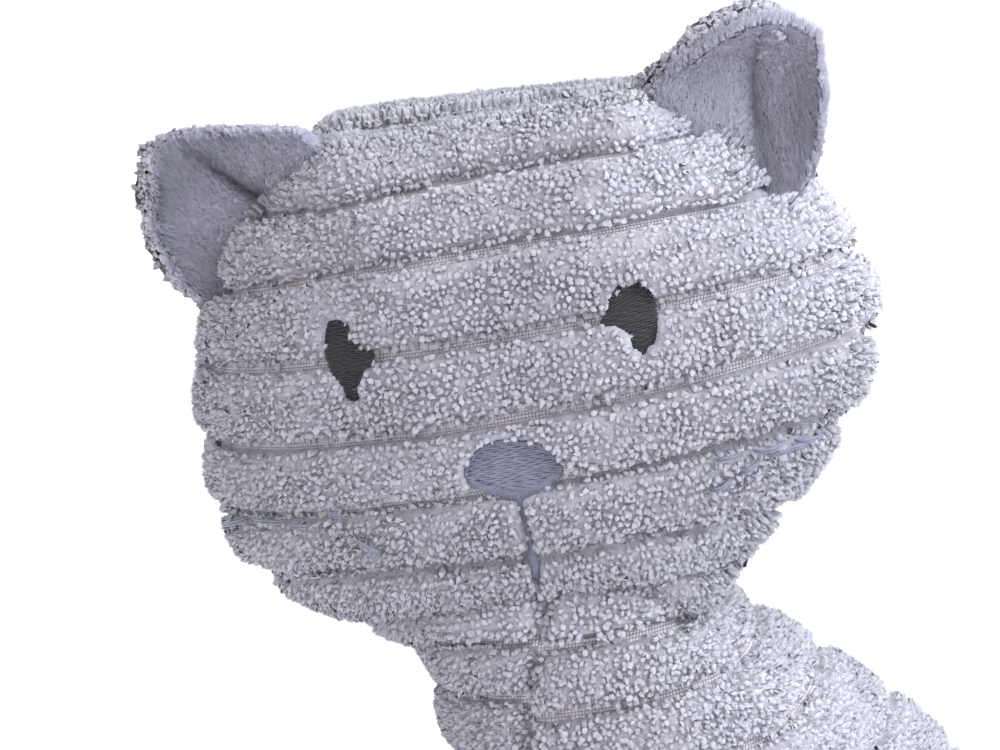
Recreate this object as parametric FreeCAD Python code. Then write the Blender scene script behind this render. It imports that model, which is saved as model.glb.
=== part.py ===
import FreeCAD, Part
import os
from FreeCAD import Vector as V
from math import sin, cos, radians, pi, tan

os.makedirs("parts", exist_ok=True)

# ---------------------------------------------------------------- driving sizes, mm
# +Z up, the body faces -Y, the cat's left is +X, Z = 0 is the floor it sits on.
PILE = 4.0               # fabric and pile of a panel together
GAP = 0.4                # panel to stuffing
HEAD_C = V(0, -5.0, 185.0)  # centre of the head, before it is turned; its seam lies in the plane y = HEAD_C.y
HEAD_HALF = (50.0, 26.5, 40.0)
HEAD_TURN = 43.0         # the head is sewn looking to the cat's left
NECK_P = V(0, 0, 160.0)  # point the head nods about
NECK_BALL = 11.5
NECK_TOP = 146.0         # where the torso's panels stop
HEAD_CUT = 152.0         # where the head's panels stop
NOD = 15.0               # free nod each way, deg
EAR_CLEAR = 2.6          # ear root to head skin
EAR_BACK = 3.2
EAR_LINING = 2.9
EYE_X, EYE_Z, EYE_W, EYE_H = 21.0, 10.0, 6.6, 12.6
NOSE_X, NOSE_Z, NOSE_W, NOSE_H = 1.8, -8.5, 13.8, 8.6
LEG_SPLIT = 38.4         # flat plane between the torso's side and a hind leg
FORE_R = 12.5
FORE_X, FORE_Y, FORE_Z = 17.5, -40.0, 80.0   # top of a foreleg, where it is sewn on
HIND_R = 12.0
TAIL_R = 10.0

# torso sections: height, front y, back y, half thickness
TORSO = [(0.0, -31.0, 92.0, 32.5), (8.0, -35.5, 97.0, 36.0), (25.0, -36.0, 98.0, 37.0),
         (50.0, -34.0, 94.0, 37.0), (75.0, -30.0, 87.0, 36.0), (95.0, -26.0, 77.0, 34.0),
         (111.0, -23.0, 64.0, 31.5), (123.0, -22.0, 52.0, 29.0), (131.0, -21.5, 42.5, 27.0),
         (139.0, -22.3, 32.0, 25.2), (150.0, -24.0, 24.0, 24.0)]


def save(name, shape):
    if shape.ShapeType == "Compound" and len(shape.Solids) == 1:
        shape = shape.Solids[0]
    assert shape.isValid() and shape.Volume > 0 and shape.Solids, name
    shape.exportStep("parts/%s.step" % name)
    b = shape.BoundBox
    print("%-24s %8.1f mm3  %d solid  x %.1f %.1f  y %.1f %.1f  z %.1f %.1f" % (
        name, shape.Volume, len(shape.Solids), b.XMin, b.XMax, b.YMin, b.YMax, b.ZMin, b.ZMax))


def ellipsoid(c, a, b, h):
    m = FreeCAD.Matrix()
    m.scale(a, b, h)
    s = Part.makeSphere(1.0).transformGeometry(m)
    s.translate(c)
    return s


def box(x0, x1, y0, y1, z0, z1):
    return Part.makeBox(x1 - x0, y1 - y0, z1 - z0, V(x0, y0, z0))


# ---------------------------------------------------------------- torso
def section(z, yf, yb, hw, inset):
    yc, hd = (yf + yb) / 2.0, (yb - yf) / 2.0 - inset
    hw = hw - inset
    pts = []
    for i in range(28):
        t = 2 * pi * i / 28
        pts.append(V(hw * cos(t), yc + hd * sin(t), z))
    c = Part.BSplineCurve()
    c.interpolate(pts, PeriodicFlag=True)
    return Part.Wire([c.toShape()])


def torso_loft(inset):
    return Part.makeLoft([section(z, yf, yb, hw, inset) for z, yf, yb, hw in TORSO], True, False)


outer = torso_loft(0.0)
inner = torso_loft(PILE)
core = torso_loft(PILE + GAP)
BASE_T = 4.0
base_panel = outer.common(box(-80, 80, -80, 140, 0, BASE_T))
wall = outer.common(box(-80, 80, -80, 140, BASE_T + 0.15, NECK_TOP)).cut(inner)
torso_left = wall.common(box(0.15, 80, -80, 140, -1, 200))
torso_right = wall.common(box(-80, -0.15, -80, 140, -1, 200))
pellet_bag = ellipsoid(V(0, 32, BASE_T + 0.7), 27.0, 46.0, 19.0).common(
    box(-80, 80, -80, 140, BASE_T + 0.7, 60))
pellet_room = ellipsoid(V(0, 32, BASE_T + 0.7), 27.4, 46.4, 19.4)
torso_stuffing = core.common(box(-80, 80, -80, 140, BASE_T + 0.6, NECK_TOP - 0.3)).cut(pellet_room)

save("torso_left_panel", torso_left)
save("torso_right_panel", torso_right)
save("base_panel", base_panel)
save("torso_stuffing", torso_stuffing)
save("pellet_bag", pellet_bag)
# blank folded care tag, caught in the rump seam above the tail
save("care_tag", box(-0.5, 0.5, 98.6, 112.0, 32.0, 48.0))

# ---------------------------------------------------------------- neck
neck = Part.makeSphere(NECK_BALL, NECK_P).fuse(
    Part.makeCylinder(NECK_BALL - 0.6, NECK_P.z - NECK_TOP - 0.4, V(0, 0, NECK_TOP + 0.4)))
neck = neck.common(box(-40, 40, -40, 40, NECK_TOP + 0.4, 200)).removeSplitter()
save("neck_stuffing", neck)


# ---------------------------------------------------------------- head, drawn facing -Y then turned
def turned(shape):
    s = shape.copy()
    s.rotate(V(0, 0, 0), V(0, 0, 1), HEAD_TURN)
    return s


a, b, h = HEAD_HALF
head_outer = ellipsoid(HEAD_C, a, b, h)
head_inner = ellipsoid(HEAD_C, a - PILE, b - PILE, h - PILE)
head_core = ellipsoid(HEAD_C, a - PILE - GAP, b - PILE - GAP, h - PILE - GAP)
drop = NECK_P.z - HEAD_CUT + 2.0
socket = Part.makeSphere(NECK_BALL + 0.7, NECK_P).fuse(
    Part.makeCone(NECK_BALL + 0.8 + (drop) * tan(radians(NOD)) + 0.8, NECK_BALL + 0.8,
                  drop, V(0, 0, NECK_P.z - drop)))
above = box(-80, 80, -80, 80, HEAD_CUT, 300)
skin = head_outer.common(above).cut(head_inner).cut(socket)
save("head_front_panel", turned(skin.common(box(-80, 80, -80, HEAD_C.y - 0.15, 100, 300))))
save("head_back_panel", turned(skin.common(box(-80, 80, HEAD_C.y + 0.15, 80, 100, 300))))
save("head_stuffing", turned(head_core.common(above).cut(socket)))

# embroidery: thread a little proud of the ground it is sewn on
thread_zone = ellipsoid(HEAD_C, a + 1.3, b + 1.3, h + 1.3).cut(
    ellipsoid(HEAD_C, a + 0.3, b + 0.3, h + 0.3))


def on_face(pts):
    """Prism through the face, cut to the thread's thickness; pts are (x, z) from the head's centre."""
    w = Part.makePolygon([V(x, -70, HEAD_C.z + z) for x, z in pts + pts[:1]])
    return Part.Face(w).extrude(V(0, 70 + HEAD_C.y, 0)).common(thread_zone)


def oval(cx, cz, w, hh, n=28):
    return [(cx + w / 2 * cos(2 * pi * i / n), cz + hh / 2 * sin(2 * pi * i / n)) for i in range(n)]


def stitch(x0, z0, x1, z1, w):
    L = ((x1 - x0) ** 2 + (z1 - z0) ** 2) ** 0.5
    nx, nz = -(z1 - z0) / L * w / 2, (x1 - x0) / L * w / 2
    return [(x0 + nx, z0 + nz), (x1 + nx, z1 + nz), (x1 - nx, z1 - nz), (x0 - nx, z0 - nz)]


save("left_eye", turned(on_face(oval(EYE_X, EYE_Z, EYE_W, EYE_H))))
save("right_eye", turned(on_face(oval(-EYE_X, EYE_Z, EYE_W, EYE_H))))
save("nose", turned(on_face(oval(NOSE_X, NOSE_Z, NOSE_W, NOSE_H))))
save("mouth_stitching", turned(on_face(stitch(NOSE_X, NOSE_Z - NOSE_H / 2 - 0.4, NOSE_X - 0.4, -25.8, 1.1))))

# whiskers: two rows of running stitch on each cheek, outer end higher
WHISKER_ROWS = [(24.5, -12.0, 41.5, -8.0), (25.0, -16.5, 40.5, -13.5)]
for side, sx in (("left", 1.0), ("right", -1.0)):
    bits = []
    for x0, z0, x1, z1 in WHISKER_ROWS:
        for k in range(5):
            t0, t1 = (k + 0.1) / 5.0, (k + 0.8) / 5.0
            bits.append(on_face(stitch(sx * (x0 + (x1 - x0) * t0), z0 + (z1 - z0) * t0,
                                       sx * (x0 + (x1 - x0) * t1), z0 + (z1 - z0) * t1, 0.8)))
    save(side + "_whiskers", turned(Part.makeCompound([s for q in bits for s in q.Solids])))

# ears: a ribbed back and a short-pile lining, sewn round the edge
EAR = [(16.5, 39.0), (25.0, 42.5), (34.0, 46.5), (41.0, 48.0), (47.5, 46.0), (51.0, 41.0),
       (51.8, 33.0), (50.5, 25.0), (46.5, 14.0), (30.0, 20.0), (15.0, 30.0)]
ear_room = ellipsoid(HEAD_C, a + EAR_CLEAR, b + EAR_CLEAR, h + EAR_CLEAR)


def ear_plate(sx, y0, y1, inset):
    cx, cz = 38.0, 34.0
    pts = [V(sx * (cx + (x - cx) * (1 - inset)), HEAD_C.y + y0, HEAD_C.z + cz + (z - cz) * (1 - inset)) for x, z in EAR]
    f = Part.Face(Part.makePolygon(pts + pts[:1]))
    return f.extrude(V(0, y1 - y0, 0)).cut(ear_room)


for side, sx in (("left", 1.0), ("right", -1.0)):
    save(side + "_ear_back", turned(ear_plate(sx, 0.15, EAR_BACK, 0.0)))
    save(side + "_ear_lining", turned(ear_plate(sx, -EAR_LINING, -0.15, 0.04)))


# ---------------------------------------------------------------- legs
def rounded_bar(p, q, r):
    """Straight stuffed tube with round ends."""
    d = q - p
    return Part.makeCylinder(r, d.Length, p, d).fuse([Part.makeSphere(r, p), Part.makeSphere(r, q)])


def foreleg(sx, t):
    """Leg and paw, drawn t inside the outer skin."""
    top, low = V(sx * FORE_X, FORE_Y, FORE_Z), V(sx * (FORE_X + 1.0), FORE_Y - 5.5, 14.0)
    leg = rounded_bar(top, low, FORE_R - t)
    paw = ellipsoid(V(sx * (FORE_X + 1.5), FORE_Y - 13.0, 12.0), 15.0 - t, 17.5 - t, 13.5 - t)
    return leg.fuse(paw).common(box(-100, 100, -120, 100, t, 200))


def hindleg(sx, t):
    """Haunch pressed flat against the torso's side, and the foot in front of it."""
    haunch = ellipsoid(V(sx * 37.0, 55.0, 27.0), 22.0 - t, 33.0 - t, 29.0 - t)
    foot = rounded_bar(V(sx * 49.0, 48.0, 11.5), V(sx * 50.5, -14.0, 11.5), HIND_R - t)
    keep = box(LEG_SPLIT + t, 100, -100, 140, t, 100) if sx > 0 else box(-100, -LEG_SPLIT - t, -100, 140, t, 100)
    return haunch.fuse(foot).common(keep)


for side, sx in (("left", 1.0), ("right", -1.0)):
    full, core1, core2 = foreleg(sx, 0.0), foreleg(sx, PILE - 0.5), foreleg(sx, PILE - 0.1)
    # the sewn end of the tube is open, closed by the stuffing and the seam
    cutin = core1.fuse(Part.makeCylinder(FORE_R - PILE - 0.6, 20.0, V(sx * FORE_X, FORE_Y, FORE_Z - 2.0)))
    save(side + "_foreleg_skin", full.cut(cutin))
    save(side + "_foreleg_stuffing", core2)
    full, core1, core2 = hindleg(sx, 0.0), hindleg(sx, PILE - 0.5), hindleg(sx, PILE - 0.1)
    # the haunch is sewn on round a slot in its flat side
    slot = Part.makeCylinder(13.0, 8.0, V(sx * (LEG_SPLIT - 1), 55.0, 27.0), V(sx, 0, 0))
    save(side + "_hind_leg_skin", full.cut(core1.fuse(slot)))
    save(side + "_hind_leg_stuffing", core2)


# ---------------------------------------------------------------- tail, lying on the floor round to the left
def tail(t):
    r = TAIL_R - t
    p0, p1 = V(0, 101.0, 10.0), V(0, 104.0, 10.0)
    rad = 24.0
    p2 = V(rad, 104.0 + rad, 10.0)
    p3 = V(78.0, 104.0 + rad, 10.0)
    mid = V(rad - rad * cos(pi / 4), 104.0 + rad * sin(pi / 4), 10.0)
    path = Part.Wire([Part.LineSegment(p0, p1).toShape(), Part.Arc(p1, mid, p2).toShape(),
                      Part.LineSegment(p2, p3).toShape()])
    prof = Part.Wire([Part.Circle(p0, V(0, 1, 0), r).toShape()])  # round section at the rump
    tube = path.makePipeShell([prof], True, False)
    tube = tube.fuse([Part.makeSphere(r, p3)])
    return tube


t_out, t_in, t_core = tail(0.0), tail(PILE - 0.5), tail(PILE - 0.1)
save("tail_skin", t_out.cut(t_in).common(box(-100, 200, 0, 200, 0.0, 50)))
save("tail_stuffing", t_core)
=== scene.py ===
import math
import bpy
import numpy as np
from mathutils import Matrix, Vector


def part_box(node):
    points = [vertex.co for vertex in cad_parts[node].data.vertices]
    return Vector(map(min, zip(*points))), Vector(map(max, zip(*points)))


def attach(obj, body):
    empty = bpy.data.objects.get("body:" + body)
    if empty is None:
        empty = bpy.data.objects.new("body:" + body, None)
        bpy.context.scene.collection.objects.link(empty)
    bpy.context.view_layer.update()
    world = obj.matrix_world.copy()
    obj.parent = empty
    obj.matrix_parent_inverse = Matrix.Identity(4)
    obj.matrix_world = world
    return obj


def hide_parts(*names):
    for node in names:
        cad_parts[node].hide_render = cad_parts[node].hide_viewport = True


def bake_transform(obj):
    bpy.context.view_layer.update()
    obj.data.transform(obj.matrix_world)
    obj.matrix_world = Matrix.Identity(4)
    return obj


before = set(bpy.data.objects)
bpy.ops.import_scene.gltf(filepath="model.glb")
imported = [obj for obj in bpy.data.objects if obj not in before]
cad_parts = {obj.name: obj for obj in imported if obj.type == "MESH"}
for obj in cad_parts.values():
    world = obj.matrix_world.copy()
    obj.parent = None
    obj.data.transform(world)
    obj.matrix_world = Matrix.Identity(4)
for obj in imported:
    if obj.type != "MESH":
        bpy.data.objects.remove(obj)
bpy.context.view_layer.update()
MM = 0.001
RNG = np.random.default_rng(7)

# ------------------------------------------------------------------ frames
TURN = math.radians(43.0)
HC = np.array([5.0 * math.sin(TURN), -5.0 * math.cos(TURN), 185.0])   # head centre, mm
AZ, EL, ROLL, SCALE = math.radians(55.0), math.radians(10.0), math.radians(9.0), 0.15
B = np.array([math.sin(AZ) * math.cos(EL), -math.cos(AZ) * math.cos(EL), math.sin(EL)])
R = np.array([math.cos(AZ), math.sin(AZ), 0.0])
U = np.cross(B, R)
HX = np.array([math.cos(TURN), math.sin(TURN), 0.0])
HF = np.array([math.sin(TURN), -math.cos(TURN), 0.0])
AIM = HC - 4.7 * R - 0.9 * U


def head(x, f, z):
    """Head-frame x (to the cat's left), f (forward) and z to the row frame, mm."""
    x, f, z = np.broadcast_arrays(np.asarray(x, float), np.asarray(f, float), np.asarray(z, float))
    return HC + x[..., None] * HX + f[..., None] * HF + z[..., None] * np.array([0, 0, 1.0])


XR, FR = float(HX @ R), float(HF @ R)
XU, FU, ZU = float(HX @ U), float(HF @ U), float(U[2])


# ------------------------------------------------------------------ small numeric helpers
def noise(p, scale, seed=0):
    """Smooth value noise in 3-D, -1..1."""
    q = np.asarray(p, float) / scale + 1000.0
    i = np.floor(q).astype(np.int64)
    f = q - i
    f = f * f * (3 - 2 * f)
    out = np.zeros(q.shape[:-1])
    for cx in (0, 1):
        for cy in (0, 1):
            for cz in (0, 1):
                h = (i[..., 0] + cx) * 73856093 ^ (i[..., 1] + cy) * 19349663 ^ (i[..., 2] + cz) * 83492791 ^ (seed * 2654435761)
                h = (h ^ (h >> 13)) * 1274126177 & 0x7FFFFFFF
                h = (h ^ (h >> 16)) & 0xFFFF
                wgt = (f[..., 0] if cx else 1 - f[..., 0]) * (f[..., 1] if cy else 1 - f[..., 1]) * (f[..., 2] if cz else 1 - f[..., 2])
                out += wgt * (h / 32767.5 - 1.0)
    return out


def unit(v):
    return v / np.maximum(np.linalg.norm(v, axis=-1, keepdims=True), 1e-9)


def smooth_closed(pts, n):
    """n points evenly along a closed smooth curve through pts."""
    p = np.asarray(pts, float)
    m = len(p)
    out = []
    for k in range(m):
        p0, p1, p2, p3 = p[(k - 1) % m], p[k], p[(k + 1) % m], p[(k + 2) % m]
        t = np.linspace(0, 1, 12, endpoint=False)[:, None]
        out.append(0.5 * ((2 * p1) + (-p0 + p2) * t + (2 * p0 - 5 * p1 + 4 * p2 - p3) * t ** 2 + (-p0 + 3 * p1 - 3 * p2 + p3) * t ** 3))
    q = np.concatenate(out)
    q = np.vstack([q, q[:1]])
    s = np.r_[0, np.cumsum(np.linalg.norm(np.diff(q, axis=0), axis=1))]
    t = np.linspace(0, s[-1], n, endpoint=False)
    return np.stack([np.interp(t, s, q[:, c]) for c in range(q.shape[1])], 1)


def inside(poly, x, z):
    """True where (x, z) is inside the polygon."""
    res = np.zeros(np.shape(x), bool)
    n = len(poly)
    j = n - 1
    for i in range(n):
        xi, zi, xj, zj = poly[i, 0], poly[i, 1], poly[j, 0], poly[j, 1]
        if zi != zj:
            res ^= ((zi > z) != (zj > z)) & (x < (xj - xi) * (z - zi) / (zj - zi) + xi)
        j = i
    return res


def poly_dist(poly, x, z):
    """Distance to the polygon's edge, mm."""
    best = np.full(np.shape(x), 1e9)
    for i in range(len(poly)):
        a, b = poly[i], poly[(i + 1) % len(poly)]
        ab = b - a
        t = np.clip(((x - a[0]) * ab[0] + (z - a[1]) * ab[1]) / max(ab @ ab, 1e-9), 0, 1)
        best = np.minimum(best, np.hypot(x - a[0] - t * ab[0], z - a[1] - t * ab[1]))
    return best


# ------------------------------------------------------------------ meshes
def make_mesh(name, verts, faces=None, tris=None, mats=(), mat_index=None, attrs=None, uv=None, normals=None, smooth=True):
    me = bpy.data.meshes.new(name)
    verts = np.ascontiguousarray(verts, dtype=np.float32) * MM
    polys = []
    if faces is not None and len(faces):
        polys.append(np.asarray(faces, np.int32))
    if tris is not None and len(tris):
        polys.append(np.asarray(tris, np.int32))
    loops = np.concatenate([p.ravel() for p in polys])
    counts = np.concatenate([np.full(len(p), p.shape[1], np.int32) for p in polys])
    starts = np.r_[0, np.cumsum(counts)[:-1]].astype(np.int32)
    me.vertices.add(len(verts))
    me.vertices.foreach_set("co", verts.ravel())
    me.loops.add(len(loops))
    me.loops.foreach_set("vertex_index", loops)
    me.polygons.add(len(counts))
    me.polygons.foreach_set("loop_start", starts)
    for m in mats:
        me.materials.append(m)
    if mat_index is not None:
        me.polygons.foreach_set("material_index", np.asarray(mat_index, np.int32))
    me.polygons.foreach_set("use_smooth", np.full(len(counts), smooth, bool))
    me.update(calc_edges=True)
    if uv is not None:
        lay = me.uv_layers.new(name="cloth")
        lay.data.foreach_set("uv", np.asarray(uv, np.float32)[loops].ravel())
    for key, val in (attrs or {}).items():
        a = me.attributes.new(key, "FLOAT", "POINT")
        a.data.foreach_set("value", np.ascontiguousarray(val, dtype=np.float32))
    if normals is not None:
        me.normals_split_custom_set_from_vertices(np.asarray(normals, np.float32))
    ob = bpy.data.objects.new(name, me)
    bpy.context.scene.collection.objects.link(ob)
    return ob


def grid_faces(n, m, wrap=False, flip=False):
    i, j = np.meshgrid(np.arange(n - 1), np.arange(m if wrap else m - 1), indexing="ij")
    k = (j + 1) % m
    f = np.stack([i * m + j, i * m + k, (i + 1) * m + k, (i + 1) * m + j], -1).reshape(-1, 4)
    return f[:, ::-1] if flip else f


def grid_normals(P, ref, wrap=False):
    di = np.gradient(P, axis=0)
    if wrap:
        dj = (np.roll(P, -1, 1) - np.roll(P, 1, 1)) / 2
    else:
        dj = np.gradient(P, axis=1)
    N = unit(np.cross(di, dj))
    s = np.sign(np.sum(N * ref, -1, keepdims=True))
    s[s == 0] = 1
    return N * s


class Panel:
    """A cloth panel as a grid of points, rows along the wales, with the height of the pile over it."""

    def __init__(self, P, ref, w, wrap=False, H=4.2, strip=0.95, shoulder=3.0):
        self.P, self.wrap, self.w, self.H = P, wrap, w, H
        self.N = grid_normals(P, ref, wrap)
        step = np.linalg.norm(np.gradient(P, axis=0), axis=-1)
        dw = np.abs(np.gradient(w, axis=0))
        self.T = unit(np.gradient(P, axis=0)) * np.sign(np.gradient(w, axis=0))[..., None]
        per = np.clip(step / np.maximum(dw, 1e-6), 6.0, 20.0)       # mm of cloth in one wale
        self.off = (w - np.round(w)) * per                            # signed mm from the nearest ground strip
        self.d = np.abs(self.off) + 0.25 * noise(P, 2.0, 3)
        t = np.clip((self.d - strip) / shoulder, 0, 1)
        self.h = H * np.sqrt(np.maximum(1 - (1 - t) ** 2, 0)) * (1 + 0.05 * noise(P, 7.0, 5))
        self.keep = np.ones(P.shape[:2])
        self.edge = np.ones(P.shape[:2])

    def skin(self, name, mats, body=0.71, extra=None):
        n, m = self.P.shape[:2]
        lump = 0.28 * noise(self.P, 1.25, 11) * np.clip(self.h / self.H, 0, 1)
        V = self.P + self.N * (((self.h * self.keep) * body + lump * self.keep) * self.edge)[..., None]
        if extra is not None:
            V = V + self.N * extra[..., None]
        arc = np.cumsum(np.r_["1,2", np.zeros((n, 1)), np.linalg.norm(np.diff(self.P, axis=1), axis=-1)], axis=1)
        uv = np.stack([arc * 0.1, self.off * 0.1], -1).reshape(-1, 2)
        f = grid_faces(n, m, self.wrap, flip=True)
        c = V.reshape(-1, 3)
        fn = np.cross(c[f[:, 1]] - c[f[:, 0]], c[f[:, 2]] - c[f[:, 0]])
        bad = np.sum(fn * self.N.reshape(-1, 3)[f[:, 0]], 1) < 0
        f[bad] = f[bad][:, ::-1]
        # faces under the pile take the first material, the darker depth colour that is painted shade between tufts; the
        # low ground strips take the second
        low = self.h.reshape(-1)[f].mean(1) < 0.35
        return make_mesh(name, c, faces=f, mats=mats, mat_index=low.astype(int), uv=uv,
                         attrs={"pile": (self.h / self.H).ravel()})

    def tufts(self, du=1.15, dv=1.25, seed=1, rows=None):
        """Places of the tufts: a jittered lattice, columns across the wales."""
        rng = np.random.default_rng(seed)
        n, m = self.P.shape[:2]
        mid = self.P[:, m // 2]
        alt = self.P[:, m // 4]
        s1 = np.linalg.norm(np.diff(mid, axis=0), axis=1)
        s2 = np.linalg.norm(np.diff(alt, axis=0), axis=1)
        s = np.r_[0, np.cumsum(np.maximum(s1, s2))]
        out = []
        for k, pos in enumerate(np.arange(dv * 0.5, s[-1], dv)):
            fi = np.interp(pos, s, np.arange(n))
            a, b = int(fi), min(int(fi) + 1, n - 1)
            t = fi - a
            stack = np.concatenate([self.P, self.N, self.T, self.h[..., None] * self.keep[..., None], self.off[..., None], self.keep[..., None]], -1) if k == 0 else stack
            row = stack[a] * (1 - t) + stack[b] * t
            if self.wrap:
                row = np.vstack([row, row[:1]])
            L = np.r_[0, np.cumsum(np.linalg.norm(np.diff(row[:, :3], axis=0), axis=1))]
            cnt = int(L[-1] / du)
            if cnt < 1:
                continue
            q = (np.arange(cnt) + 0.5 * (k % 2) + rng.uniform(-0.3, 0.3, cnt)) * du
            v = np.stack([np.interp(q, L, row[:, c]) for c in range(row.shape[1])], 1)
            v[:, :3] += unit(v[:, 6:9]) * rng.uniform(-0.35, 0.35, (cnt, 1)) * dv
            out.append(v)
        v = np.concatenate(out)
        return v[v[:, 9] > 0.7]


def pile(name, v, blades, width, mat, seed=2, spread=0.62, lean=0.22, nap=(0, 0, -0.2), edge=0.55, H=4.2, tall=1.0, sides=5, fuzz=0.32, floor=True, core=0.90, comb=0.0):
    """Cut pile: each tuft a soft rounded bundle with fine fibre ends standing out of it."""
    rng = np.random.default_rng(seed)
    C, N, T, h, off = v[:, :3], unit(v[:, 3:6]), unit(v[:, 6:9]), v[:, 9] * tall, v[:, 10]
    n = len(C)
    S = unit(np.cross(N, T))
    T = unit(np.cross(S, N))
    low = np.clip(h / (H * tall), 0, 1)
    tl = rng.normal(0, lean, (n, 2)) + 0.40 * np.stack([noise(C, 2.8, 71), noise(C, 2.8, 72)], 1) + 0.35 * np.stack([noise(C, 6.5, 73), noise(C, 6.5, 74)], 1)
    side = -np.sign(off) * edge * np.sqrt(np.maximum(1 - low ** 2, 0))
    top = h * (1 + rng.normal(0, 0.024, n)) + 0.24 * noise(C, 2.3, 21) * low + 0.22 * noise(C, 7.0, 22) * low
    size = spread * rng.uniform(0.82, 1.18, n)
    long_ = rng.uniform(0.85, 1.25, n)
    shade = np.clip(0.55 + 0.10 * rng.normal(size=n) + 0.30 * noise(C, 9.0, 31), 0, 1)
    nap = np.asarray(nap, float)

    def place(hh, a, b, ln):
        return (C[:, None] + N[:, None] * hh[..., None] + S[:, None] * (a + tl[:, :1] * ln)[..., None]
                + T[:, None] * (b + (tl[:, 1:] + side[:, None]) * ln)[..., None] + nap[None, None] * ln[..., None])

    fine = sides >= 6
    # ring columns: height, radius, tip value, normal sideways, normal up; low tip values take the material's painted
    # shade, high ones its painted light
    prof = [(0.50, 0.95, 0.25, 0.80, 0.6), (0.82, 1.0, 0.65, 0.55, 0.83), (0.96, 0.62, 0.9, 0.3, 0.95)] if fine else [(0.46 * core, 0.95, 0.25, 0.55, 0.83), (0.87 * core, 0.86, 0.65, 0.36, 0.93)]
    V, NR, TP = [], [], []
    th0 = rng.uniform(0, 2 * np.pi, (n, 1))
    th = th0 + np.arange(sides) / sides * 2 * np.pi
    for fh, fr, tp, nr, nn in prof:
        rr = size[:, None] * fr * (1 + rng.normal(0, 0.26, (n, sides)))
        a, b = rr * np.cos(th), rr * np.sin(th) * long_[:, None]
        hh = top[:, None] * fh + rng.normal(0, 0.17, (n, sides))
        V.append(place(hh, a, b, np.full((n, sides), fh)))
        NR.append(unit(S[:, None] * (np.cos(th) * nr)[..., None] + T[:, None] * (np.sin(th) * nr)[..., None] + N[:, None] * nn))
        TP.append(np.full((n, sides), tp))
    one = np.ones((n, 1))
    V.append(place(top[:, None] * core, rng.normal(0, 0.2, (n, 1)), rng.normal(0, 0.2, (n, 1)), one))
    NR.append(N[:, None])
    TP.append(one * 0.66)
    V, NR, TP = np.concatenate(V, 1), np.concatenate(NR, 1), np.concatenate(TP, 1)
    per = V.shape[1]
    base = (np.arange(n) * per)[:, None]
    q, t = [], []
    i = np.arange(sides)
    j = (i + 1) % sides
    for r in range(len(prof) - 1):
        q.append(np.stack([base + r * sides + i, base + r * sides + j, base + (r + 1) * sides + j, base + (r + 1) * sides + i], -1).reshape(-1, 4))
    r = len(prof) - 1
    t.append(np.stack([base + r * sides + i, base + r * sides + j, np.broadcast_to(base + per - 1, (n, sides))], -1).reshape(-1, 3))
    V, NR, TP = V.reshape(-1, 3), NR.reshape(-1, 3), TP.ravel()
    SH = np.repeat(shade, per)
    q = np.concatenate(q)
    g = np.cross(V[q[:, 1]] - V[q[:, 0]], V[q[:, 3]] - V[q[:, 0]])
    bad = np.sum(g * NR[q[:, 0]], 1) < 0
    q[bad] = q[bad][:, ::-1]
    g = np.cross(V[t[0][:, 1]] - V[t[0][:, 0]], V[t[0][:, 2]] - V[t[0][:, 0]])
    bad = np.sum(g * NR[t[0][:, 2]], 1) < 0
    t[0][bad] = t[0][bad][:, ::-1]
    # fibre ends
    k = blades
    if k:
        ang = rng.uniform(0, 2 * np.pi, (n, k))
        up = rng.uniform(0.0, 1.0, (n, k))
        out = np.sqrt(np.maximum(1 - up ** 2, 0))
        ox, oy = out * np.cos(ang), out * np.sin(ang) * long_[:, None]
        ln = 0.60 + 0.40 * up
        a0 = place(top[:, None] * (0.40 + 0.28 * up) * core, ox * size[:, None] * 0.55, oy * size[:, None] * 0.55, ln * 0.6)
        a1 = place(top[:, None] * (0.84 + 0.16 * up) + fuzz * rng.uniform(-0.2, 1.0, (n, k)), ox * size[:, None] * 1.6, oy * size[:, None] * 1.6, ln)
        a1 = a1 + rng.normal(0, 0.15, (n, k, 3)) + comb * nap[None, None] * rng.uniform(0.6, 1.3, (n, k, 1))
        d = unit(a1 - a0)
        ref_n = unit(N[:, None] + 0.38 * (S[:, None] * ox[..., None] + T[:, None] * oy[..., None]) + 0.12 * rng.normal(size=(n, k, 3)))
        p = unit(np.cross(d, ref_n) + 1e-6) * (width * rng.uniform(0.7, 1.3, (n, k, 1)) / 2)
        F = np.stack([a0 - p, a0 + p, a1], 2).reshape(-1, 3)
        fn = np.repeat(ref_n.reshape(-1, 3), 3, 0)
        ft = np.arange(len(F)).reshape(-1, 3)
        g = np.cross(F[ft[:, 1]] - F[ft[:, 0]], F[ft[:, 2]] - F[ft[:, 0]])
        bad = np.sum(g * fn[ft[:, 0]], 1) < 0
        ft[bad] = ft[bad][:, ::-1]
        t.append(ft + len(V))
        V = np.vstack([V, F])
        NR = np.vstack([NR, fn])
        # tip values for the fibres: low at the base (painted shade), high at the end (painted light)
        tu = np.repeat(0.35 + 0.2 * up.ravel(), 3).reshape(-1, 3)
        tu[:, 2] = 0.78 + 0.17 * up.ravel()
        TP = np.r_[TP, tu.ravel()]
        SH = np.r_[SH, np.repeat(np.clip(shade[:, None] + rng.normal(0, 0.12, (n, k)), 0, 1).ravel(), 3)]
    if floor:
        V[:, 2] = np.maximum(V[:, 2], 0.15)
    return make_mesh(name, V, faces=q, tris=np.concatenate(t), mats=[mat], attrs={"tip": TP, "shade": SH}, normals=NR)


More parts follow.
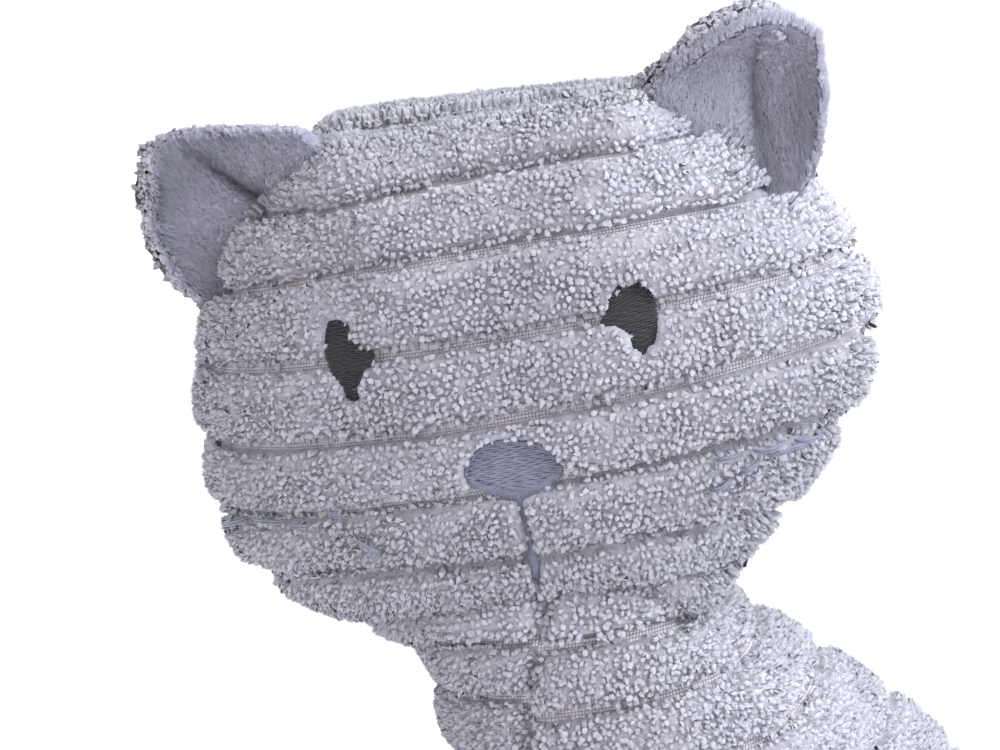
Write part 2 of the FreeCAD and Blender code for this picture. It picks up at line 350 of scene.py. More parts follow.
# ------------------------------------------------------------------ materials
class Nodes:
    def __init__(self, name):
        self.m = bpy.data.materials.new(name)
        self.m.use_nodes = True
        self.t = self.m.node_tree
        self.t.nodes.clear()
        self.out = self.t.nodes.new("ShaderNodeOutputMaterial")

    def n(self, kind, **kw):
        nd = self.t.nodes.new(kind)
        for k, v in kw.items():
            setattr(nd, k, v)
        return nd

    def link(self, a, b):
        self.t.links.new(a, b)

    def math(self, op, a, b=None, clamp=False):
        nd = self.n("ShaderNodeMath", operation=op, use_clamp=clamp)
        for i, x in enumerate((a, b)):
            if x is None:
                continue
            if isinstance(x, (int, float)):
                nd.inputs[i].default_value = x
            else:
                self.link(x, nd.inputs[i])
        return nd.outputs[0]

    def ramp(self, fac, stops):
        nd = self.n("ShaderNodeValToRGB")
        el = nd.color_ramp.elements
        while len(el) < len(stops):
            el.new(0.5)
        for e, (p, c) in zip(el, stops):
            e.position = p
            e.color = (*c, 1.0)
        self.link(fac, nd.inputs[0])
        return nd.outputs[0]

    def mixc(self, fac, a, b, mode="MIX"):
        nd = self.n("ShaderNodeMix", data_type="RGBA", blend_type=mode)
        for sock, x in ((nd.inputs[0], fac), (nd.inputs[6], a), (nd.inputs[7], b)):
            if isinstance(x, (int, float)):
                sock.default_value = x
            elif isinstance(x, tuple):
                sock.default_value = (*x, 1.0)
            else:
                self.link(x, sock)
        return nd.outputs[2]

    def shader(self, color, rough, sheen=0.0, sheen_rough=0.4, spec=0.2, normal=None, sheen_tint=(1, 1, 1), sss=0.0):
        b = self.n("ShaderNodeBsdfPrincipled")
        if isinstance(color, tuple):
            b.inputs["Base Color"].default_value = (*color, 1.0)
        else:
            self.link(color, b.inputs["Base Color"])
        if isinstance(rough, (int, float)):
            b.inputs["Roughness"].default_value = rough
        else:
            self.link(rough, b.inputs["Roughness"])
        b.inputs["Specular IOR Level"].default_value = spec
        b.inputs["Sheen Weight"].default_value = sheen
        b.inputs["Sheen Roughness"].default_value = sheen_rough
        b.inputs["Sheen Tint"].default_value = (*sheen_tint, 1.0)
        if normal is not None:
            self.link(normal, b.inputs["Normal"])
        self.link(b.outputs[0], self.out.inputs[0])
        return b


def attr(N, name):
    return N.n("ShaderNodeAttribute", attribute_name=name).outputs["Fac"]


def obj_noise(N, scale, detail=3.0, rough=0.55):
    tc = N.n("ShaderNodeTexCoord")
    nz = N.n("ShaderNodeTexNoise")
    nz.inputs["Scale"].default_value = scale
    nz.inputs["Detail"].default_value = detail
    nz.inputs["Roughness"].default_value = rough
    N.link(tc.outputs["Object"], nz.inputs["Vector"])
    return nz.outputs["Fac"]


def pile_material(name, dark, mid, light, sheen=0.35, tint=(0.93, 0.94, 1.0), patch=0.55, deep=0.80):
    """Cut pile: darker at the root and paler at the tip, painted shade deep in the pile and painted light on the fibre
    ends; uneven from tuft to tuft.
    """
    N = Nodes(name)
    tip, sh = attr(N, "tip"), attr(N, "shade")
    # root-to-tip ramp: the dark root end is painted shade inside the pile, the pale tip end painted light
    col = N.ramp(tip, [(0.0, dark), (0.45, mid), (1.0, light)])
    lo = tuple(c * deep for c in mid)
    col = N.mixc(N.math("MULTIPLY", N.math("SUBTRACT", 1.0, sh), patch), col, lo)
    big = obj_noise(N, 45.0, 4.0)
    col = N.mixc(N.math("MULTIPLY", big, 0.22), col, tuple(c * 0.86 for c in light))
    fine = obj_noise(N, 3200.0, 3.0, 0.7)
    bump = N.n("ShaderNodeBump")
    bump.inputs["Strength"].default_value = 0.85
    bump.inputs["Distance"].default_value = 0.00025
    N.link(fine, bump.inputs["Height"])
    rough = N.math("ADD", N.math("MULTIPLY", fine, 0.25), 0.70)
    N.shader(col, rough, sheen=sheen, spec=0.12, sheen_tint=tint, normal=bump.outputs[0])
    return N.m


def shaded_depth_material(name, dark, mid, scale=900.0):
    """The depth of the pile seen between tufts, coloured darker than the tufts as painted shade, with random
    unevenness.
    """
    N = Nodes(name)
    f = obj_noise(N, scale, 4.0, 0.65)
    col = N.ramp(f, [(0.25, dark), (0.75, mid)])
    bump = N.n("ShaderNodeBump")
    bump.inputs["Strength"].default_value = 0.8
    bump.inputs["Distance"].default_value = 0.0006
    N.link(f, bump.inputs["Height"])
    rough = N.math("ADD", N.math("MULTIPLY", f, 0.2), 0.75)
    N.shader(col, rough, sheen=0.2, spec=0.1, normal=bump.outputs[0])
    return N.m


def weave_material(name, dark, light, pitch=0.052):
    """Plain-weave ground cloth between the wales, paler on the thread crests and on the threads lying over (painted
    highlight) and darker in the gaps (painted shade); the cloth's own coordinates are in centimetres.
    """
    N = Nodes(name)
    uv = N.n("ShaderNodeUVMap", uv_map="cloth")
    sep = N.n("ShaderNodeSeparateXYZ")
    N.link(uv.outputs[0], sep.inputs[0])
    k = 2 * math.pi / pitch
    a = N.math("SINE", N.math("MULTIPLY", sep.outputs[0], k / 2))
    b = N.math("SINE", N.math("MULTIPLY", sep.outputs[1], k / 2))
    cell = N.math("MULTIPLY", a, b)
    h = N.math("ABSOLUTE", cell)
    ridge = N.math("POWER", h, 0.55)
    nz = obj_noise(N, 1500.0, 3.0)
    f = N.math("ADD", N.math("MULTIPLY", ridge, 0.8), N.math("MULTIPLY", nz, 0.3), clamp=True)
    over = N.math("GREATER_THAN", cell, 0.0)
    # crests paler, gaps darker: painted highlight and painted shade, with random unevenness from the noise
    col = N.ramp(f, [(0.15, dark), (0.85, light)])
    # threads lying over made paler still: painted highlight
    col = N.mixc(N.math("MULTIPLY", over, 0.25), col, tuple(min(1.0, c * 1.18) for c in light))
    bump = N.n("ShaderNodeBump")
    bump.inputs["Strength"].default_value = 1.0
    bump.inputs["Distance"].default_value = 0.00025
    N.link(f, bump.inputs["Height"])
    N.shader(col, N.math("SUBTRACT", 0.8, N.math("MULTIPLY", f, 0.2)), sheen=0.15, spec=0.25, normal=bump.outputs[0])
    return N.m


def thread_material(name, base, hi, rough=0.38):
    """Twisted embroidery thread: fine slanting plies along each stitch, paler along each ply (painted highlight) and
    darker between the plies (painted shade).
    """
    N = Nodes(name)
    tc = N.n("ShaderNodeTexCoord")
    wv = N.n("ShaderNodeTexWave", wave_type="BANDS", bands_direction="DIAGONAL")
    wv.inputs["Scale"].default_value = 1500.0
    wv.inputs["Distortion"].default_value = 1.5
    wv.inputs["Detail"].default_value = 2.0
    N.link(tc.outputs["Object"], wv.inputs["Vector"])
    nz = obj_noise(N, 700.0, 2.0)
    f = N.math("MULTIPLY", N.math("ADD", wv.outputs["Fac"], nz), 0.5)
    # ply bands: pale end painted highlight, dark end painted shade, with random unevenness
    col = N.ramp(f, [(0.2, base), (0.85, hi)])
    bump = N.n("ShaderNodeBump")
    bump.inputs["Strength"].default_value = 0.5
    bump.inputs["Distance"].default_value = 0.0001
    N.link(wv.outputs["Fac"], bump.inputs["Height"])
    N.shader(col, N.math("ADD", N.math("MULTIPLY", nz, 0.2), rough), sheen=0.2, spec=0.45, normal=bump.outputs[0])
    return N.m


PLUSH = pile_material("plush_pile", (0.27, 0.26, 0.30), (0.40, 0.388, 0.447), (0.475, 0.468, 0.54))
# depth between the plush tufts, darker than the tufts: painted shade
PLUSH_DEPTH_SHADE = shaded_depth_material("plush_depth_painted_shade", (0.22, 0.21, 0.24), (0.36, 0.35, 0.40))
# ground strips: painted highlight on the thread crests, painted shade in the gaps
WEAVE = weave_material("ground_weave", (0.23, 0.205, 0.235), (0.64, 0.595, 0.66))
VELOUR = pile_material("ear_velour_pile", (0.15, 0.14, 0.185), (0.32, 0.31, 0.395), (0.58, 0.57, 0.70), sheen=0.5, patch=0.95, deep=0.5)
# depth between the velour tufts, darker than the velour: painted shade
VELOUR_DEPTH_SHADE = shaded_depth_material("ear_velour_depth_painted_shade", (0.15, 0.14, 0.18), (0.28, 0.27, 0.34))
# threads with painted highlight along the plies and painted shade between them
DARK_THREAD = thread_material("dark_thread", (0.003, 0.003, 0.005), (0.013, 0.014, 0.022))
GREY_THREAD = thread_material("grey_thread", (0.045, 0.045, 0.07), (0.24, 0.24, 0.34))

# ------------------------------------------------------------------ the head's front: seam outline and dome
# the seam round the face, head-frame (x, z) in mm, starting at the crown
SEAM = [(-24.21, 37.18), (-17.2, 37.57), (-7.92, 37.68), (1.34, 37.65), (10.59, 37.61), (18.36, 37.91), (22.97, 37.81), (25.8, 34.23), (29.61, 31), (33.67, 27.42), (37.9, 22.9), (43.13, 18.88), (47, 14.1), (49, 9.23), (49.8, 4.5), (49.59, -0.71), (47.91, -5.45), (44.98, -10.33), (41.04, -15.72), (36.84, -20.76), (32.06, -25.59), (26.73, -30.03), (20.38, -36.98), (13.89, -38.97), (7.34, -40.34), (-3.19, -41.53), (-11.07, -40.58), (-18.54, -39.07), (-25.07, -36.43), (-32.57, -32.13), (-39.94, -28), (-45, -22.92), (-47.57, -17.67), (-48.52, -12.01), (-48.77, -5.81), (-48.72, 0.35), (-48.07, 6.44), (-46.65, 11.51), (-44.41, 15.87), (-41.47, 20.76), (-37.28, 25.81), (-32.41, 29.23), (-28.31, 33.67)]
OUT = smooth_closed(np.array(SEAM), 240)
OC = np.array([0.5 * (OUT[:, 0].min() + OUT[:, 0].max()), 0.5 * (OUT[:, 1].min() + OUT[:, 1].max())])
_ang = np.arctan2(OUT[:, 1] - OC[1], OUT[:, 0] - OC[0])
_rad = np.hypot(OUT[:, 1] - OC[1], OUT[:, 0] - OC[0])
_o = np.argsort(_ang)
_ANG = np.r_[_ang[_o] - 2 * np.pi, _ang[_o], _ang[_o] + 2 * np.pi]
_RAD = np.tile(_rad[_o], 3)
D_FRONT, D_BACK = 21.5, 22.0


def seam_radius(a):
    return np.interp(a, _ANG, _RAD)


def front_depth(x, z):
    """How far the face's cloth stands forward of the seam plane, mm."""
    a = np.arctan2(z - OC[1], x - OC[0])
    r = np.hypot(x - OC[0], z - OC[1]) / seam_radius(a)
    return D_FRONT * np.maximum(1 - np.clip(r, 0, 1) ** 2.3, 0) ** 0.60


# the ground strips between the wales on the face, (x, z) in mm, from the crown down
STRIPS = [
    [(-31.01, 27.35), (-4.25, 30.05), (27.51, 30.96)],
    [(-43.79, 16.76), (-12.69, 19.77), (11.07, 21.14), (37.9, 20.74)],
    [(-47.9, 5.93), (-26.42, 7.88), (-17.35, 8.01), (14.24, 8.15), (24.29, 9.73), (47.1, 11.19)],
    [(-50.72, -5.42), (-24.12, -3.53), (3.92, -4.05), (15.67, -2.88), (31, -1.17), (41.97, -0.16), (48.08, 0.9)],
    [(-49.12, -15.79), (-8.1, -13.45), (6.12, -13.45), (26.58, -13.07), (45.5, -9.94)],
    [(-43.65, -25.09), (-18.31, -23.27), (-0.07, -24.72), (21.25, -23.96), (35.57, -22.92)],
    [(-34.2, -33.63), (-14.71, -31.93), (-0.47, -32.7), (10.96, -31.77), (24.6, -31.73)],
]
XS = np.linspace(-56, 56, 113)


def strip_line(pts):
    q = np.array(pts)
    return np.polyval(np.polyfit(q[:, 0], q[:, 1], 2), XS)


lines = [strip_line(p) for p in STRIPS]
gap = [12.0] * 2
top = np.maximum(lines[0] + 11.5, 41.0)
bottom = lines[-1] - 9.0
lines = [top] + lines + [bottom]
LEVELS = np.array(lines)                    # wale coordinate k -> height at XS


def level(k, x):
    """Height of wale coordinate k at x, smooth between the ground strips."""
    k = np.asarray(k, float)
    n = len(LEVELS)
    i = np.clip(np.floor(k).astype(int), 0, n - 2)
    t = k - i
    xi = np.clip((x - XS[0]) / (XS[1] - XS[0]), 0, len(XS) - 1.001)
    a = xi.astype(int)
    f = xi - a
    lo = LEVELS[i, a] * (1 - f) + LEVELS[i, a + 1] * f
    hi = LEVELS[i + 1, a] * (1 - f) + LEVELS[i + 1, a + 1] * f
    return lo * (1 - t) + hi * t


def front_panel():
    """Rows along the wales from the crown seam to the chin seam."""
    fine = 0.55
    ks = np.arange(0.0, len(LEVELS) - 1 + 1e-6, fine / 12.0)
    rows, keep = [], []
    m = 230
    s = np.sin(np.linspace(-np.pi / 2, np.pi / 2, m))
    s = 0.35 * np.linspace(-1, 1, m) + 0.65 * s
    for k in ks:
        z = level(np.full_like(XS, k), XS)
        ins = inside(OUT, XS, z)
        if ins.sum() < 3:
            continue
        # exact crossings of this row with the seam
        xs = np.linspace(-56, 56, 1201)
        zz = np.interp(xs, XS, z)
        good = inside(OUT, xs, zz)
        x0, x1 = xs[good][0], xs[good][-1]
        x = (x0 + x1) / 2 + (x1 - x0) / 2 * s
        zz = np.interp(x, XS, z)
        rows.append(np.stack([x, front_depth(x, zz), zz], 1))
        keep.append(k)
    G = np.array(rows)
    w = np.repeat(np.array(keep)[:, None], m, 1)
    return G, w


# embroidery on the face, head-frame (x, z) in mm
EYE_R_LINE = np.array([(-24.44, 13.24), (-22.68, 13.3), (-21.22, 12.49), (-20.93, 10.53), (-20.04, 9.67), (-20.12, 9.11), (-18.59, 8.65), (-18.14, 7.82), (-19.04, 6.39), (-20.1, 5.78), (-20.7, 4.21), (-21.45, 3.32), (-21.07, 1.78), (-22.12, 1.38), (-23.42, 1.72), (-23.56, 3.24), (-24.14, 4.32), (-25.2, 5.54), (-25.69, 7.41), (-25.7, 9.23), (-25.46, 11.04), (-24.91, 12.47)])
EYE_L_LINE = np.array([(18.62, 13.78), (20.11, 12.87), (21.25, 13.71), (21.8, 12.78), (22.92, 11.76), (23.42, 10.01), (23.5, 8.22), (23.12, 6), (22.54, 4.36), (21.56, 4.14), (20.9, 2.89), (20.36, 3.65), (19.4, 4.28), (19.24, 6.04), (18.84, 6.67), (17.96, 7.27), (17.16, 7.77), (16.12, 7.86), (15.34, 8.6), (15.54, 9.34), (16.45, 9.87), (16.8, 11.14), (16.67, 11.64), (17.75, 12.78)])
NOSE_LINE = np.array([(-7.35, -10.59), (-7.11, -9.91), (-6.17, -8.68), (-5.14, -7.61), (-3.84, -6.91), (-1.88, -6.49), (0.37, -6.52), (2.63, -7.1), (4.62, -7.84), (5.57, -9.05), (6.24, -9.98), (7.19, -10.48), (6.75, -11.63), (6.25, -12.52), (4.38, -13.74), (2.85, -14.38), (1.2, -15.03), (0.17, -15.51), (-1.34, -15.32), (-2.82, -14.4), (-4.45, -13.6), (-6.1, -12.92), (-7.14, -12.07)])
MOUTH_LINE = np.array([(-0.13, -14.97), (-0.08, -17.07), (0.1, -19.21), (0.07, -21.51), (-0.03, -24), (-0.15, -25.84), (-0.46, -27.68)])
WHISK = [np.array(w) for w in (
    [(27.26, -12.64), (29.02, -12.38), (31, -12.37)],
    [(32.26, -12.35), (34.24, -12.21), (36.05, -12.06)],
    [(37.42, -11.97), (39.16, -11.87), (40.96, -11.88)],
    [(27.26, -12.64), (26.82, -14.04)],
    [(25.75, -17), (26.84, -16.58), (28.56, -15.82)],
    [(29.84, -15.12), (32.47, -13.95)],
    [(34.07, -13.55), (36.73, -12.62), (39.72, -12.27)],
    [(-46.01, -16.36), (-43.88, -15.88), (-41.5, -15.23)],
    [(-40.2, -15.02), (-37.56, -14.99), (-35.57, -15.33)],
    [(-34.42, -15.51), (-31.99, -15.91)],
    [(-28.37, -13.66), (-26.98, -14.07), (-25.8, -14.63)],
    [(-24.87, -17.8), (-23.16, -18.76), (-21.55, -20.07)],
    [(-21.55, -20.07), (-22.38, -20.85), (-23.06, -21.64)],
)]

G, wf = front_panel()
HX3 = lambda G: head(G[..., 0], G[..., 1], G[..., 2])
P_front = HX3(G)
ref = np.broadcast_to(HF, P_front.shape) * 1.0 + (P_front - HC) * 0.02
# slack in the cloth: soft hollows
P_front = P_front + unit(ref) * (0.7 * noise(P_front, 17.0, 41))[..., None]
front = Panel(P_front, ref, wf)
gx, gz = G[..., 0], G[..., 2]
near_seam = poly_dist(OUT, gx, gz)
# pile stops at the embroidery
emb = np.ones(gx.shape)
for poly in (EYE_R_LINE, EYE_L_LINE, NOSE_LINE):
    c = poly.mean(0)
    sd = poly_dist(poly, gx, gz) * np.where(inside(poly, gx, gz), -1, 1)
    emb = np.minimum(emb, np.clip((sd + 0.15) / 0.5, 0, 1))
mouth_d = np.full(gx.shape, 1e9)
for a, b in zip(MOUTH_LINE[:-1], MOUTH_LINE[1:]):
    ab = b - a
    t = np.clip(((gx - a[0]) * ab[0] + (gz - a[1]) * ab[1]) / (ab @ ab), 0, 1)
    mouth_d = np.minimum(mouth_d, np.hypot(gx - a[0] - t * ab[0], gz - a[1] - t * ab[1]))
emb = np.minimum(emb, np.clip((mouth_d - 0.25) / 0.7, 0.0, 1))
front.edge = np.clip(near_seam / 2.6, 0, 1)
top_seam = np.clip((gz - 28.0) / 6.0, 0, 1) * np.clip((30.0 - np.abs(gx)) / 6.0, 0, 1)
front.h = front.h * (1 - top_seam * (1 - np.clip(0.42 + near_seam / 4.6, 0, 1)))
front.keep = emb
front_skin = front.skin("head_front_cloth", [PLUSH_DEPTH_SHADE, WEAVE], extra=(1 - emb) * 1.0)
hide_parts("head_front_panel")
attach(front_skin, "head")

FINE = 22
tf = front.tufts(du=0.90, dv=0.93, seed=5)
half = len(tf) // 2
order = np.argsort(-tf[:, 2])
tf = tf[order]
parts_n = max(1, int(np.ceil(len(tf) * (FINE + 15) / 190000.0)))
for i, chunk in enumerate(np.array_split(tf, parts_n)):
    o = pile(f"head_front_pile_{i + 1}", chunk, FINE, 0.10, PLUSH, seed=50 + i, spread=0.50)
    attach(o, "head")
print("front tufts", len(tf), "pieces", parts_n)

# ------------------------------------------------------------------ the head's back
def back_panel():
    n, m = 60, 240
    t = np.linspace(0, 1, n)[:, None]
    th = np.linspace(0, 2 * np.pi, m, endpoint=False)[None]
    rad = seam_radius(np.arctan2(np.sin(th), np.cos(th)))
    bulge = 0.055 * np.clip(np.sin(th), 0, 1) ** 0.7 + 0.02
    q = t * np.pi / 2
    rr = rad * (np.cos(q) ** 0.8 + bulge * np.sin(2 * q) * 1.35)
    x = OC[0] + rr * np.cos(th)
    z = OC[1] + rr * np.sin(th)
    f = -D_BACK * np.sin(q) ** 0.9 * np.ones_like(th)
    return np.stack([x, f, z], -1)


Gb = back_panel()
up_ = np.clip((Gb[..., 2] - 26.0) / 14.0, 0, 1)
Gb[..., 2] -= up_ * (1.0 + 2.6 * np.clip((Gb[..., 0] - 2.0) / 26.0, 0, 1)) * np.clip(-Gb[..., 1] / 4.0, 0, 1)
P_back = HX3(Gb)
refb = P_back - HC
P_back = P_back + unit(refb) * (0.6 * noise(P_back, 16.0, 43))[..., None]


class ZPanel(Panel):
    """A panel whose grid rows don't follow the wales; the wales are level bands."""

    def __init__(self, P, ref, w, wrap=False, H=4.2, strip=0.95, shoulder=3.0):
        super().__init__(P, ref, w, wrap, H, strip, shoulder)
        gi, gj = np.gradient(P, axis=0), (np.roll(P, -1, 1) - np.roll(P, 1, 1)) / 2 if wrap else np.gradient(P, axis=1)
        wi, wj = np.gradient(w, axis=0), (np.roll(w, -1, 1) - np.roll(w, 1, 1)) / 2 if wrap else np.gradient(w, axis=1)
        a, b, c = (gi * gi).sum(-1), (gi * gj).sum(-1), (gj * gj).sum(-1)
        det = np.maximum(a * c - b * b, 1e-9)
        u1, u2 = (c * wi - b * wj) / det, (a * wj - b * wi) / det
        grad = gi * u1[..., None] + gj * u2[..., None]
        g = np.linalg.norm(grad, axis=-1)
        self.T = unit(grad)
        self.off = (w - np.round(w)) / np.maximum(g, 1 / 16.0)
        self.d = np.abs(self.off) + 0.25 * noise(P, 2.0, 3)
        t = np.clip((self.d - strip) / shoulder, 0, 1)
        self.h = H * np.sqrt(np.maximum(1 - (1 - t) ** 2, 0)) * (1 + 0.05 * noise(P, 7.0, 5))


wb = (40.0 - Gb[..., 2]) / 12.0 + 0.62 + 0.02 * Gb[..., 1]
back = ZPanel(P_back, refb, wb, wrap=True)
back.N[-3:] = -HF
back_in = np.linspace(0, 1, Gb.shape[0])[:, None] * 62.0
back.edge = np.clip(back_in / 2.6, 0, 1) * np.ones(Gb.shape[:2])
crest = np.clip((Gb[..., 2] - 26.0) / 6.0, 0, 1) * np.clip((32.0 - np.abs(Gb[..., 0])) / 6.0, 0, 1)
back.h = back.h * (1 - crest * (1 - np.clip(0.45 + back_in / 3.5, 0, 1)))
back_skin = back.skin("head_back_cloth", [PLUSH_DEPTH_SHADE, WEAVE])
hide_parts("head_back_panel")
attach(back_skin, "head")
crown_line = HC[2] + 24
t1, t2 = back.tufts(du=0.9, dv=0.92, seed=6), back.tufts(du=1.3, dv=1.35, seed=7)
tb = np.vstack([t1[t1[:, 2] > crown_line], t2[t2[:, 2] <= crown_line]])
crown = tb[:, 2] > crown_line
for nm, sel, k, wd, sp in (("head_back_pile_crown", crown, 24, 0.10, 0.52), ("head_back_pile", ~crown, 9, 0.17, 0.72)):
    o = pile(nm, tb[sel], k, wd, PLUSH, seed=61, spread=sp)
    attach(o, "head")

# ------------------------------------------------------------------ ears
def resample(p, n):
    p = np.asarray(p, float)
    s = np.r_[0, np.cumsum(np.linalg.norm(np.diff(p, axis=0), axis=1))]
    t = np.linspace(0, s[-1], n)
    q = np.stack([np.interp(t, s, p[:, c]) for c in range(2)], 1)
    for _ in range(3):
        q[1:-1] = 0.5 * q[1:-1] + 0.25 * (q[:-2] + q[2:])
    return q


def coons(bottom, top, left, right, n, m):
    """Patch between four edges; rows run from the root (bottom) to the rim (top)."""
    b, t = resample(bottom, m), resample(top, m)
    l, r = resample(left, n), resample(right, n)
    v, u = np.linspace(0, 1, n)[:, None, None], np.linspace(0, 1, m)[None, :, None]
    c = (1 - v) * b[None] + v * t[None] + (1 - u) * l[:, None] + u * r[:, None]
    c -= (1 - u) * (1 - v) * b[0] + u * (1 - v) * b[-1] + (1 - u) * v * t[0] + u * v * t[-1]
    return c


# ear outlines as seen square to the front quarter: (right, up) from the head's centre in mm
EARS = {
    "left": dict(
        bottom=[(23.4, 34.59), (25.3, 31.25), (28.09, 27.77), (32.16, 24.7), (36.39, 19.78), (42.6, 16.82)],
        top=[(39.15, 43.94), (41.47, 44.18), (45.4, 43.1), (48.75, 40.3)],
        left=[(23.4, 34.59), (26.43, 38.36), (32.76, 41.92), (39.15, 43.94)],
        right=[(42.6, 16.82), (46.57, 23.63), (48.75, 31.64), (48.75, 40.3)],
        bowl=6.5, fold=None, nap=(0.15, 1.0), back_lift=2.0, peek=lambda u, v: np.clip(1.15 - 1.7 * u, 0, 1)),
    "right": dict(
        bottom=[(-45.89, 15.19), (-42.86, 18.96), (-40.13, 22.78), (-36.6, 25.87), (-32.1, 29.41), (-25.84, 36.31)],
        top=[(-51.51, 39.17), (-50.15, 41.99), (-47.57, 42.95), (-43.97, 42.68)],
        left=[(-45.89, 15.19), (-51.13, 22.4), (-53.41, 30.05), (-51.51, 39.17)],
        right=[(-25.84, 36.31), (-28.61, 39.94), (-35.92, 41.71), (-43.97, 42.68)],
        bowl=5.5, fold=True, nap=(0.75, -0.65), back_lift=0.9, peek=lambda u, v: np.clip(1.1 - 2.2 * u, 0, 1)),
}


def ear_surface(e, sx, grow=0.0):
    n, m = 74, 86
    g = coons(e["bottom"], e["top"], e["left"], e["right"], n, m)
    v, u = np.linspace(0, 1, n)[:, None], np.linspace(0, 1, m)[None]
    rim = (4 * u * (1 - u)) ** 0.7 * (1 - v ** 3.0)
    f = 1.6 - e["bowl"] * rim * np.clip(0.25 + 1.1 * v, 0, 1) + 0.0 * v
    if e["fold"]:
        # the inner edge is rolled forward over the bowl
        a = np.clip((u - 0.60) / 0.40, 0, 1)
        f = f + 5.2 * np.sin(a * np.pi * 0.62) * np.clip(1.15 - v, 0, 1)
        crease = np.exp(-((u - 0.60 - 0.06 * v) / 0.055) ** 2) * np.clip(1.1 - v, 0, 1)
        f = f - 4.6 * crease
    else:
        crease = np.exp(-((u + 0.55 * v - 0.78) / 0.09) ** 2) * np.clip(v * 3, 0, 1) * np.clip(1.3 - v, 0, 1)
        f = f - 3.0 * crease + 1.5 * np.clip(u - 0.7, 0, 1) * v
    aa, bb = g[..., 0], g[..., 1]
    qx = (aa - FR * f) / XR
    q = np.stack([qx, (bb - XU * qx - FU * f) / ZU], -1)
    # the root goes on under the face's pile
    root = q[:1]
    inward = unit(OC - root) * 3.2
    q = q + inward * np.clip(1 - v / 0.16, 0, 1)[..., None] ** 1.5
    if grow:
        c = q.mean((0, 1))
        d = unit(q - c)
        edge = np.maximum(np.abs(2 * u - 1) ** 3, v ** 4)
        side_ = e["peek"](u, v)
        q = q + d * ((grow * side_ - 2.3 * (1 - side_)) * edge)[..., None]
        f = f - 2.2 - 1.2 * (4 * u * (1 - u)) * (1 - v ** 2)
    return head(q[..., 0], f, q[..., 1]), q, f


